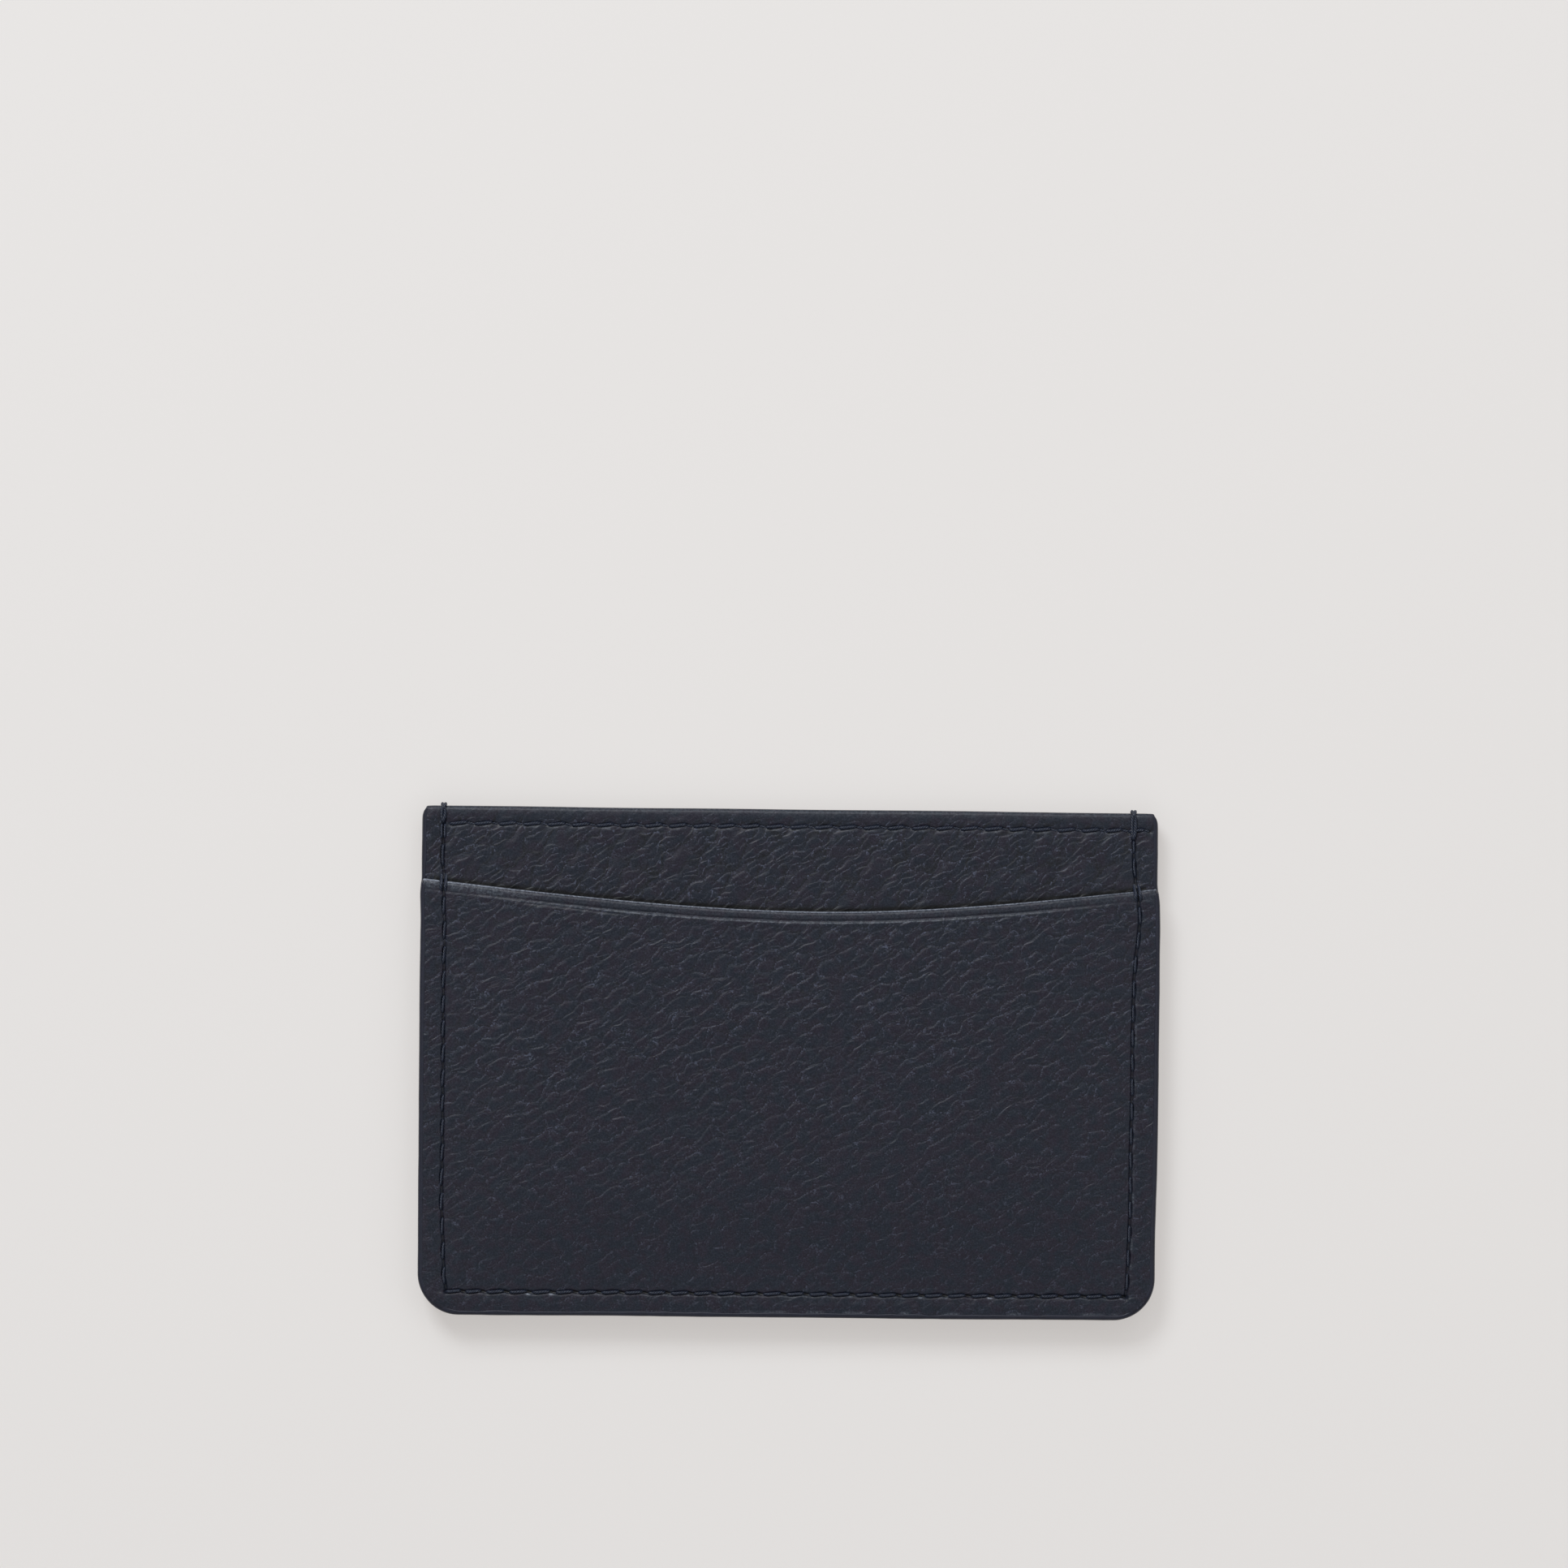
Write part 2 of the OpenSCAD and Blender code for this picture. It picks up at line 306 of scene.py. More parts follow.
# Broad waves in the hide, with long slanting pillows over them.
undulation = {
    "height": 0.06,
    "waveScale": 0.07,
    "finerBy": 3.1,
    "finerShare": 0.4,
    "pillow": 0.035,
    "pillowSize": (7.0, 2.9),
    "pillowTurn": math.radians(60.0),
}


def undulate(x, y, seed):
    c, s = math.cos(undulation["pillowTurn"]), math.sin(undulation["pillowTurn"])
    long, short = undulation["pillowSize"]
    along, across = (x * c + y * s) / long, (y * c - x * s) / short
    scale = undulation["waveScale"]
    relief = np.zeros(len(x))
    for n in range(len(x)):
        spot = Vector((x[n] * scale, y[n] * scale, seed))
        broad = noise.noise(spot) + undulation["finerShare"] * noise.noise(spot * undulation["finerBy"])
        pillow = noise.noise(Vector((along[n], across[n], seed + 4.0)))
        relief[n] = undulation["height"] * broad + undulation["pillow"] * pillow
    return relief


# The turned mouth: a bead along its rim and the crease behind it, doubled over part of the left.
mouth = {
    "bead": 0.06,
    "beadAt": 0.85,
    "beadWidth": 0.5,
    "crease": 0.21,
    "creaseAt": 1.62,
    "creaseWidth": 0.17,
    "creaseWander": 0.10,
    "secondCreaseAt": 2.12,
    "secondCreaseWidth": 0.16,
    "secondShare": 0.6,
    "secondSpan": (-38.0, -22.0, 3.0),
    "endFade": (0.75, 34.0, 12.0),
}


def mouthRelief(x, e):
    # e is how far the surface is from the rim of the mouth
    amount, start, length = mouth["endFade"]
    fade = 1.0 - amount * smooth((np.abs(x) - start) / length)
    wander = mouth["creaseWander"] * lineNoise(x, 0.12, 2.2)
    bead = mouth["bead"] * hump(e - mouth["beadAt"], mouth["beadWidth"])
    first = mouth["crease"] * hump(e - mouth["creaseAt"] - wander, mouth["creaseWidth"]) * fade
    left, right, length = mouth["secondSpan"]
    doubled = smooth((x - left) / length) * smooth((right - x) / length)
    second = mouth["secondShare"] * mouth["crease"] * doubled
    second = second * hump(e - mouth["secondCreaseAt"] - 2 * wander, mouth["secondCreaseWidth"])
    return bead - first - second


def pocketSurface(x, y, e, seed):
    relief = undulate(x, y, seed) * (0.35 + 0.65 * smooth((e - 1.2) / 1.5)) + mouthRelief(x, e)
    paintedShade = np.zeros(len(x))
    for side in (-1, 1):
        across = side * (x - side * seamX)
        marks, slit = stitchRelief(y, across, lowerHoles[side], stitching["sideSlant"], grooves["side"])
        relief += marks * smooth((y - seamBottomY + 1.2) / 0.8)
        paintedShade = np.maximum(paintedShade, slit)
    across = y - seamBottomY
    marks, slit = stitchRelief(x, across, bottomHoles, stitching["bottomSlant"], grooves["bottom"])
    relief += marks
    paintedShade = np.maximum(paintedShade, slit)
    return relief, paintedShade


# The turned top edge: the leather stands up along it and is gathered below each stitch.
hem = {
    "band": 0.07,
    "bandAt": 1.25,
    "bandWidth": 0.9,
    "puckerDepth": 0.075,
    "puckerAt": 0.55,
    "puckerWidth": 0.4,
    "farPucker": (0.35, 1.3, 0.8),
    "gatherShare": 0.85,
}


def panelSurface(x, y, e, seed):
    # e is how far the surface is from the fold along the top edge
    band = smooth((topY - hemY - 0.3 - e) / 0.8)
    relief = undulate(x, y, seed) * (1.0 - 0.6 * band)
    relief += hem["band"] * hump(e - hem["bandAt"], hem["bandWidth"])
    marks, paintedShade = stitchRelief(x, y - hemY, hemHoles, stitching["hemSlant"], grooves["hem"])
    relief += marks
    # scallops where each stitch gathers the leather below it
    f = stitchLine(x, hemHoles, stitching["hemSlant"])[1]
    below = hemY - y
    inRun = smooth((x - hemHoles[0]) / 0.5) * smooth((hemHoles[-1] - x) / 0.5)
    scallop = np.sin(np.pi * np.clip(f / hem["gatherShare"], 0.0, 1.0)) - 0.6
    relief += hem["puckerDepth"] * scallop * hump(below - hem["puckerAt"], hem["puckerWidth"]) * inRun
    share, at, width = hem["farPucker"]
    relief += share * hem["puckerDepth"] * scallop * hump(below - at, width) * inRun
    for side in (-1, 1):
        across = side * (x - side * seamX)
        marks, slit = stitchRelief(y, across, upperHoles[side], stitching["sideSlant"], grooves["side"])
        relief += marks
        paintedShade = np.maximum(paintedShade, slit)
    return relief, paintedShade


# Sheets of leather and lining: a grid counts columns and rows, then takes its shape.


def spread(first, last, step, fine=()):
    # positions whose spacing follows step, and is smaller near the places in fine
    spots = np.linspace(first, last, 6000)
    spacing = np.full(len(spots), float(step)) if np.isscalar(step) else step(spots)
    for place, width, small in fine:
        share = smooth((np.abs(spots - place) - width) / (2.5 * width))
        spacing = small + (spacing - small) * share
    density = (1.0 / spacing[1:] + 1.0 / spacing[:-1]) / 2
    total = np.concatenate([[0.0], np.cumsum(density * np.diff(spots))])
    count = max(1, int(round(total[-1])))
    return np.interp(np.linspace(0.0, total[-1], count + 1), total, spots)


def countingGrid(bm, columns, rows, level):
    place = Matrix.Translation((columns / 2, rows / 2, level))
    size = Matrix.Diagonal((columns / 2, rows / 2, 1.0, 1.0))
    made = bmesh.ops.create_grid(bm, x_segments=columns, y_segments=rows, size=1.0, matrix=place @ size)
    return made["verts"]


def sheetTopology(columns, rows, rings, innerColumns, innerRows):
    # outer face, then rings round the cut edge, then a coarser inner face that meets the last ring
    bm = bmesh.new()
    countingGrid(bm, columns, rows, 0)
    edges = [e for e in bm.edges if e.is_boundary]
    for _ in range(rings):
        made = bmesh.ops.extrude_edge_only(bm, edges=edges)["geom"]
        edges = [g for g in made if isinstance(g, bmesh.types.BMEdge) and g.is_boundary]
        verts = [g for g in made if isinstance(g, bmesh.types.BMVert)]
        bmesh.ops.translate(bm, verts=verts, vec=(0, 0, 1))
    inner = countingGrid(bm, len(innerColumns) - 1, len(innerRows) - 1, rings)
    for v in inner:
        v.co.x = innerColumns[round(v.co.x)]
        v.co.y = innerRows[round(v.co.y)]
    border = {e for v in inner for e in v.link_edges if e.is_boundary}
    for cuts in sorted({round(e.calc_length()) - 1 for e in border}):
        if cuts > 0:
            group = [e for e in border if e.is_valid and round(e.calc_length()) - 1 == cuts]
            bmesh.ops.bisect_edges(bm, edges=group, cuts=cuts)
            border -= set(group)
    bmesh.ops.remove_doubles(bm, verts=bm.verts[:], dist=0.01)
    return bm


def readPoints(mesh):
    points = np.zeros(len(mesh.vertices) * 3, np.float32)
    mesh.vertices.foreach_get("co", points)
    return points.reshape(-1, 3).astype(float)


def finishMesh(mesh, points):
    # takes places in millimetres, closes what touches and turns the faces outwards
    mesh.vertices.foreach_set("co", (points * mm).astype(np.float32).ravel())
    bm = bmesh.new()
    bm.from_mesh(mesh)
    bmesh.ops.remove_doubles(bm, verts=bm.verts[:], dist=1e-7)
    bmesh.ops.recalc_face_normals(bm, faces=bm.faces[:])
    bm.to_mesh(mesh)
    bm.free()
    mesh.polygons.foreach_set("use_smooth", np.ones(len(mesh.polygons), bool))
    mesh.update()
    return mesh


def addPiece(name, mesh, node, material):
    piece = bpy.data.objects.new(name, mesh)
    bpy.context.scene.collection.objects.link(piece)
    piece.data.materials.clear()
    piece.data.materials.append(material)
    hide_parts(node)
    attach(piece, "root")
    return piece


def writeAttribute(mesh, name, values):
    layer = mesh.attributes.new(name, "FLOAT", "POINT")
    layer.data.foreach_set("value", values.astype(np.float32))


def roundCorner(x, y, halfW, low, r):
    # bends the square bottom corners of a grid onto their arcs, and gives the way out at the edge
    a = np.clip((np.abs(x) - (halfW - r)) / r, 0.0, 1.0)
    b = np.clip(((low + r) - y) / r, 0.0, 1.0)
    inCorner = (a > 0) & (b > 0)
    bentA = a * np.sqrt(1.0 - b * b / 2.0)
    bentB = b * np.sqrt(1.0 - a * a / 2.0)
    side = np.sign(x)
    newX = np.where(inCorner, side * (halfW - r + r * bentA), x)
    newY = np.where(inCorner, low + r - r * bentB, y)
    return newX, newY, side * bentA, -bentB, inCorner


def cutRim(k, rings, t, c):
    # how far out and how deep each ring of a cut edge lies
    out = np.array([0.0, 0.7, 1.0, 1.0, 0.7, 0.0]) * c
    fixed = np.array([0.0, 0.3, 1.0, -1.0, -0.3, 0.0]) * c
    share = np.array([0.0, 0.0, 0.0, 1.0, 1.0, 1.0])
    if rings == 1:
        out, fixed, share = np.zeros(2), np.zeros(2), np.array([0.0, 1.0])
    return out[k], fixed[k] + share[k] * t


# Where the leather is lighter for rubbing and painted highlights, or darker for painted shade.
# An entry of three values is how strong, how far in and how wide, and distances are in mm.
wearAndLightLook = {
    # the top fold and the gathers under the hem stitches are lighter for rubbing and for painted
    # highlights
    "fold": (0.38, 0.42, 0.28),
    "foldFlat": (0.13, 1.0, 0.5),
    "gathers": (0.42, 0.42, 0.22),
    # the mouth: a painted highlight along the rim, a duller band lightened by scuffing and painted
    # light, and a painted highlight line past the crease, changing to both ends
    "leftEnd": (30.0, 12.0),
    "rightEnd": (24.0, 18.0),
    "rim": (1.0, 0.30, 0.19),
    "rimLoss": (0.45, 0.30),
    "band": 0.17,
    "bandGain": (0.36, 0.04),
    "bandWidth": 1.6,
    "folded": (0.8, 0.25, 0.10),
    "foldedLoss": (0.7, 0.85),
    # light flecks and specks by the seams, and a broken painted highlight along the coat at the bottom
    "flecks": (0.45, 1.5),
    "fleckLine": (-0.30, 0.15),
    "markContrast": 2.4,
    "speckLine": (0.36, 0.11),
    "lipHighlightLine": (0.42, 0.09),
    # the body's shade beside the mouth of the pocket
    "crevice": (0.95, 0.08, 0.36),
    "shade": (0.44, 0.35, 0.9),
    # how far the flattened grain reaches from the rim or fold
    "calmUpTo": {"pocket": 1.9, "panel": 2.1},
}


def mark(name, distance):
    strength, at, width = wearAndLightLook[name]
    return strength * hump(distance - at, width)


def pocketWearAndHighlights(x, y, e):
    start, length = wearAndLightLook["leftEnd"]
    leftEnd = smooth((-x - start) / length)
    start, length = wearAndLightLook["rightEnd"]
    rightEnd = smooth((x - start) / length)
    rimLeft, rimRight = wearAndLightLook["rimLoss"]
    rim = (1.0 - rimLeft * leftEnd - rimRight * rightEnd) * mark("rim", e)
    bandLeft, bandRight = wearAndLightLook["bandGain"]
    band = wearAndLightLook["band"] + bandLeft * leftEnd + bandRight * rightEnd
    band = band * smooth((wearAndLightLook["bandWidth"] - e) / 0.25)
    foldedLeft, foldedRight = wearAndLightLook["foldedLoss"]
    folded = mark("folded", e - mouth["creaseAt"])
    folded = folded * (1.0 - foldedLeft * leftEnd - foldedRight * rightEnd)
    wearAndHighlight = rim + band + folded
    contrast = wearAndLightLook["markContrast"]
    least, most = wearAndLightLook["flecks"]
    at, width = wearAndLightLook["fleckLine"]
    slits = stitchLine(x, bottomHoles, stitching["bottomSlant"])[2]
    flecks = least + most * np.clip(lineNoise(x, 0.45, 7.7), -0.3, 0.6)
    wearAndHighlight = wearAndHighlight + flecks * slits * hump(y - seamBottomY - at, width)
    # light specks beside the right seam
    at, width = wearAndLightLook["speckLine"]
    specks = np.clip(contrast * lineNoise(y, 1.6, 3.3), 0.0, 0.6)
    specks = specks * smooth((12.0 - y) / 8.0) * smooth((y - seamBottomY - 0.5) / 1.0)
    wearAndHighlight = wearAndHighlight + specks * hump(x - seamX - at, width)
    # a broken painted highlight along the coat's lip at the bottom
    at, width = wearAndLightLook["lipHighlightLine"]
    lipHighlights = np.clip(contrast * lineNoise(x, 0.5, 9.1), 0.0, 0.7) * smooth((x + 20.0) / 30.0)
    return wearAndHighlight + lipHighlights * hump(y - leatherBottomY - at, width)


def panelWearAndHighlights(x, y, e):
    # lighter for rubbing and painted highlights along the top fold and on the gathers under each stitch
    f = stitchLine(x, hemHoles, stitching["hemSlant"])[1]
    gathered = np.sin(np.pi * np.clip(f / hem["gatherShare"], 0.0, 1.0)) ** 2
    gathers = gathered * mark("gathers", hemY - y) * (np.abs(x) < seamX)
    return mark("fold", e) + mark("foldFlat", e) + gathers


def mouthShade(x, y):
    # painted shade on the body just above the pocket's mouth
    above = y - mouthY(x)
    return np.maximum(mark("crevice", above), mark("shade", above)) * (np.abs(x) < seamX + 1.5)


def makeLeather(name, node, edgeY, surface, layer, face, seed, rowStep, material):
    c = holder["cutRounding"]
    halfW = leatherHalfW - c
    low = leatherBottomY + c
    cornerR = holder["cornerRadius"] - coatT - c
    foldR = holder["leatherT"] / 2
    foldAt = float(edgeY(0.0)) - foldR - low
    rollLength = math.pi * foldR
    flap = holder["turnWidth"] - foldR
    fineSeams = [(side * seamX, 0.45, 0.10) for side in (-1, 1)]
    fineSeams += [(side * halfW, 0.35, 0.12) for side in (-1, 1)]
    columns = spread(-halfW, halfW, rowStep["columns"], fineSeams)
    flatRows = spread(0.0, foldAt, rowStep["base"], [(p - low, w, s) for p, w, s in rowStep["fine"]])
    rollRows = foldAt + np.linspace(0.0, rollLength, 13)[1:]
    flapRows = foldAt + rollLength + np.linspace(0.0, flap, 6)[1:]
    rows = np.concatenate([flatRows, rollRows, flapRows])
    nx, ny = len(columns) - 1, len(rows) - 1
    skive = foldAt + foldR - holder["turnWidth"] - 0.25
    nearSkive = int(np.searchsorted(rows, skive))
    innerColumns = sorted(set(range(0, nx, 8)) | {nx})
    keep = set(range(0, nearSkive - 2, 8)) | {nearSkive - 2, nearSkive, nearSkive + 2, ny}
    keep |= set(range(nearSkive + 4, len(flatRows), 6)) | set(range(len(flatRows) - 1, ny, 2))
    rings = 5
    bm = sheetTopology(nx, ny, rings, innerColumns, sorted(keep))
    mesh = bpy.data.meshes.new(name)
    bm.to_mesh(mesh)
    bm.free()

    count = np.rint(readPoints(mesh)).astype(int)
    i, j, k = count[:, 0], count[:, 1], count[:, 2]
    x, run = columns[i], rows[j]
    flat = np.minimum(run, foldAt)
    rise = edgeY(x) - float(edgeY(0.0))
    y = low + flat + rise * smooth((flat / foldAt - 0.1) / 0.72)
    outX = np.where(i == 0, -1.0, np.where(i == nx, 1.0, 0.0))
    outRun = np.where(j == 0, -1.0, np.where(j == ny, 1.0, 0.0))
    x, y, arcX, arcY, inCorner = roundCorner(x, y, halfW, low, cornerR)
    atEdge = (i == 0) | (i == nx) | (j == 0)
    outX = np.where(inCorner & atEdge, arcX, outX)
    outRun = np.where(inCorner & atEdge, arcY, outRun)

    past = np.clip(run - foldAt, 0.0, None)
    pared = smooth((run - (skive - 0.25)) / 0.5)
    t = holder["leatherT"] - (holder["leatherT"] - holder["paredT"]) * pared
    out, depth = cutRim(k, rings, t, c)
    x = x + outX * out
    y = y + np.where(run <= foldAt, outRun * out, 0.0)
    past = past + np.where(run > foldAt, outRun * out, 0.0)

    # the surface relief fades towards the inner face and isn't on the turned-in part
    e = np.maximum(foldAt - run, 0.0) + foldR * math.pi / 2 - past
    showing = (past < rollLength * 0.8) & (k <= 3)
    relief, paintedShade = np.zeros(len(x)), np.zeros(len(x))
    relief[showing], paintedShade[showing] = surface(x[showing], (y + past)[showing], e[showing], seed)
    edgeGap = np.minimum(leatherHalfW - np.abs(x), y - leatherBottomY)
    pressed = holder["edgePress"] * (1.0 - smooth(edgeGap / holder["pressReach"]))
    quiet = 0.25 + 0.75 * smooth(edgeGap / 1.2)
    rollFade = 1.0 - smooth(past / (rollLength * 0.75))
    outerShare = 1.0 - np.clip(depth / t, 0.0, 1.0)
    depth = depth - (relief * quiet * rollFade - pressed * rollFade) * outerShare

    angle = np.clip(past / foldR, 0.0, math.pi)
    onFlap = np.clip(past - rollLength, 0.0, None)
    rolled = past > 0
    down = np.where(rolled, foldR - (foldR - depth) * np.cos(angle), depth)
    forward = np.where(rolled, (foldR - depth) * np.sin(angle) - onFlap, 0.0)
    y = y + forward
    z = halfHeight(layer, x, y) - down
    if layer == "pocket":
        wearAndHighlight = pocketWearAndHighlights(x, y, e)
    else:
        wearAndHighlight = panelWearAndHighlights(x, y, e)
        # the body also takes the painted shade beside the pocket's mouth
        paintedShade = np.maximum(paintedShade, mouthShade(x, y))
    wearAndHighlight = wearAndHighlight * (k <= 3)
    calm = smooth((wearAndLightLook["calmUpTo"][layer] - e) / 0.6)
    x, y = handMade(x, y)
    points = np.stack([x, y, midZ + face * z], axis=1)
    # attributes: lighter for rubbing and painted highlights, painted shade at the stitches and beside
    # the mouth, and how flattened the grain is
    writeAttribute(mesh, "wearAndHighlight", np.clip(wearAndHighlight, 0.0, 1.0))
    writeAttribute(mesh, "slit", paintedShade)
    writeAttribute(mesh, "calm", calm)
    finishMesh(mesh, points)
    print(name, len(mesh.polygons), "faces")
    return addPiece(name, mesh, node, material)


def makeThinSheet(name, node, lowRun, highRun, edgeY, heightOf, thickness, face, inset,
                  material):
    # a lining or tape: two faces and a plain edge, following the layer that it is glued to
    halfW = leatherHalfW - inset
    low = leatherBottomY + inset if lowRun is None else None
    columns = spread(-halfW, halfW, 1.1)
    top = float(edgeY(0.0)) - highRun
    bottom = low if low is not None else float(edgeY(0.0)) - lowRun
    rows = np.linspace(bottom, top, max(4, int((top - bottom) / 1.1)))
    nx, ny = len(columns) - 1, len(rows) - 1
    bm = sheetTopology(nx, ny, 1, list(range(nx + 1)), list(range(ny + 1)))
    mesh = bpy.data.meshes.new(name)
    bm.to_mesh(mesh)
    bm.free()
    count = np.rint(readPoints(mesh)).astype(int)
    x, y = columns[count[:, 0]], rows[count[:, 1]]
    rise = edgeY(x) - float(edgeY(0.0))
    follow = 1.0 if low is None else smooth(((y - bottom) / (top - bottom) - 0.1) / 0.72)
    y = y + rise * follow
    if low is not None:
        x, y = roundCorner(x, y, halfW, low, holder["cornerRadius"] - coatT - inset)[:2]
    z = heightOf(x, y) - thickness * count[:, 2]
    flatX, flatY = x, y
    x, y = handMade(x, y)
    finishMesh(mesh, np.stack([x, y, midZ + face * z], axis=1))
    piece = addPiece(name, mesh, node, material)
    upper = count[:, 2] == 0
    width = (flatX[upper].max() - flatX[upper].min()) * mm
    length = (flatY[upper].max() - flatY[upper].min()) * mm
    area = sum(p.area * abs(p.normal.z) for p in mesh.polygons) / 2
    return piece, width, length, area


# Threads: three plies twisted together along a path that dives at every hole.
thread = {
    "needlePly": 0.112,
    "bobbinPly": 0.10,
    "turn": 1.15,
    "sampling": 0.14,
    "dive": 0.75,
    "hemLift": 0.0,
    "sideLift": {"needle": -0.10, "bobbin": -0.14},
    "bottomLift": {"needle": -0.04, "bobbin": -0.12},
    "wrapLift": 0.16,
    "doubledLift": 0.12,
    "upperLift": 0.05,
    "mouthStitchLift": 0.20,
    "stitchBow": 0.06,
    "hemBobbin": (0.04, -0.06),
    "plySpread": 1.155,
    "wrapTurns": 0.75,
    "wrapSize": 1.12,
    "pairGap": 0.24,
    "mouthStitchSpread": 1.35,
    "upperSlantShare": 0.4,
    # how far the thread is pressed thin in each line
    "sideSize": 0.78,
    "bottomSize": 0.94,
    "mouthStitchSize": 1.15,
}


def topSurface(x, y):
    # height of the outer surface that a thread lies on, the pocket's below the mouth
    foldR = holder["leatherT"] / 2
    gap = np.clip(mouthY(x) - y, 0.0, foldR)
    rim = np.sqrt(np.clip(foldR**2 - (foldR - gap) ** 2, 0.0, None)) - foldR
    onPocket = halfHeight("pocket", x, y) + rim
    onPanel = halfHeight("panel", x, y)
    return np.where(y < mouthY(x), onPocket, onPanel)


def soften(values, reach):
    # running mean that leaves the ends in place
    padded = np.concatenate([np.full(reach, values[0]), values, np.full(reach, values[-1])])
    return np.convolve(padded, np.ones(2 * reach + 1) / (2 * reach + 1), mode="valid")


def runPath(holes, line, vertical, slant, lift, surface, flip=1.0):
    # points of a sewn run: over each stitch, then down through its slit to the next
    pieces = []
    split = 1.0 - stitching["slitShare"]
    for n in range(len(holes) - 1):
        a, b = holes[n], holes[n + 1]
        samples = max(6, int(abs(b - a) / thread["sampling"]))
        f = np.linspace(-0.02, 1.0 - 0.04, samples)
        along = a + (b - a) * f
        climb = slant * (2 * f / split - 1)
        fall = slant * (1 - 2 * (f - split) / (1 - split))
        across = line + flip * np.where(f < split, climb, fall)
        up = smooth((f + 0.02) / 0.13) * (1.0 - smooth((f - split + 0.06) / 0.13))
        bow = thread["stitchBow"] * np.sin(np.pi * np.clip(f / split, 0.0, 1.0))
        x, y = (across, along) if vertical else (along, across)
        z = surface(x, y) + lift + bow * up - thread["dive"] * (1.0 - up)
        pieces.append(np.stack([x, y, z], axis=1))
    return np.concatenate(pieces)


def wrapPath(side, lane, lift, first):
    # over the top edge at a seam, from the middle of the thickness down to the first hole
    height = layers["panel"]["closed"] + lift + 0.10
    t = np.linspace(0.0, 1.0, 12)
    angle = t * math.pi / 2
    crest = topY - 0.30
    y = crest + 0.52 * np.cos(angle)
    z = height * np.sin(angle)
    y = np.concatenate([y, np.linspace(crest, first + 0.55, 12)[1:], [first + 0.25, first + 0.1]])
    z = np.concatenate([z, np.full(11, height), [height - 0.35, height - 0.9]])
    # the two threads of a doubled wrap lie round each other
    share = np.linspace(0.0, 1.0, len(y))
    around = 2 * math.pi * thread["wrapTurns"] * share
    x = side * seamX + lane * np.cos(around)
    z = z + 0.6 * lane * np.sin(around)
    return np.stack([x, y, z], axis=1)


def resample(path, step):
    gaps = np.linalg.norm(np.diff(path, axis=0), axis=1)
    total = np.concatenate([[0.0], np.cumsum(gaps)])
    spots = np.linspace(0.0, total[-1], max(4, int(total[-1] / step)))
    return np.stack([np.interp(spots, total, path[:, a]) for a in range(3)], axis=1)


def twist(path, offset, turn, phase):
    # the three helical centre lines of a twisted thread
    ahead = np.gradient(path, axis=0)
    ahead /= np.linalg.norm(ahead, axis=1)[:, None] + 1e-9
    length = np.concatenate([[0.0], np.cumsum(np.linalg.norm(np.diff(path, axis=0), axis=1))])
    sideways = np.cross(ahead, np.array([0.0, 0.0, 1.0]))
    weak = np.linalg.norm(sideways, axis=1) < 0.35
    sideways[weak] = np.nan
    for a in range(3):
        good = ~np.isnan(sideways[:, a])
        sideways[:, a] = np.interp(np.arange(len(path)), np.flatnonzero(good), sideways[good, a])
    sideways -= ahead * np.sum(sideways * ahead, axis=1)[:, None]
    sideways /= np.linalg.norm(sideways, axis=1)[:, None] + 1e-9
    upward = np.cross(sideways, ahead)
    lines = []
    for ply in range(3):
        angle = 2 * math.pi * (length / turn + ply / 3) + phase
        swing = np.cos(angle)[:, None] * sideways + np.sin(angle)[:, None] * upward
        lines.append(path + offset * swing)
    return lines


def makeThread(name, node, paths, needle, face, material):
    curve = bpy.data.curves.new(name, "CURVE")
    curve.dimensions = "3D"
    ply = thread["needlePly"] if needle else thread["bobbinPly"]
    curve.bevel_depth = ply
    curve.bevel_resolution = 1
    curve.use_fill_caps = True
    for number, (path, size) in enumerate(paths):
        even = resample(path, thread["sampling"])
        for a in range(3):
            even[:, a] = soften(even[:, a], 1)
        for line in twist(even, ply * size * thread["plySpread"], thread["turn"], number * 1.3):
            x, y = handMade(line[:, 0], line[:, 1])
            spline = curve.splines.new("POLY")
            spline.points.add(len(line) - 1)
            places = np.stack([x, y, midZ + face * line[:, 2], np.ones(len(line))], axis=1)
            spline.points.foreach_set("co", places.astype(np.float32).ravel())
            spline.points.foreach_set("radius", np.full(len(line), size, np.float32))
    holderObject = bpy.data.objects.new(name + "Curve", curve)
    bpy.context.scene.collection.objects.link(holderObject)
    graph = bpy.context.evaluated_depsgraph_get()
    mesh = bpy.data.meshes.new_from_object(holderObject.evaluated_get(graph))
    bpy.data.objects.remove(holderObject)
    finishMesh(mesh, readPoints(mesh))
    print(name, len(mesh.polygons), "faces")
    return addPiece(name, mesh, node, material)


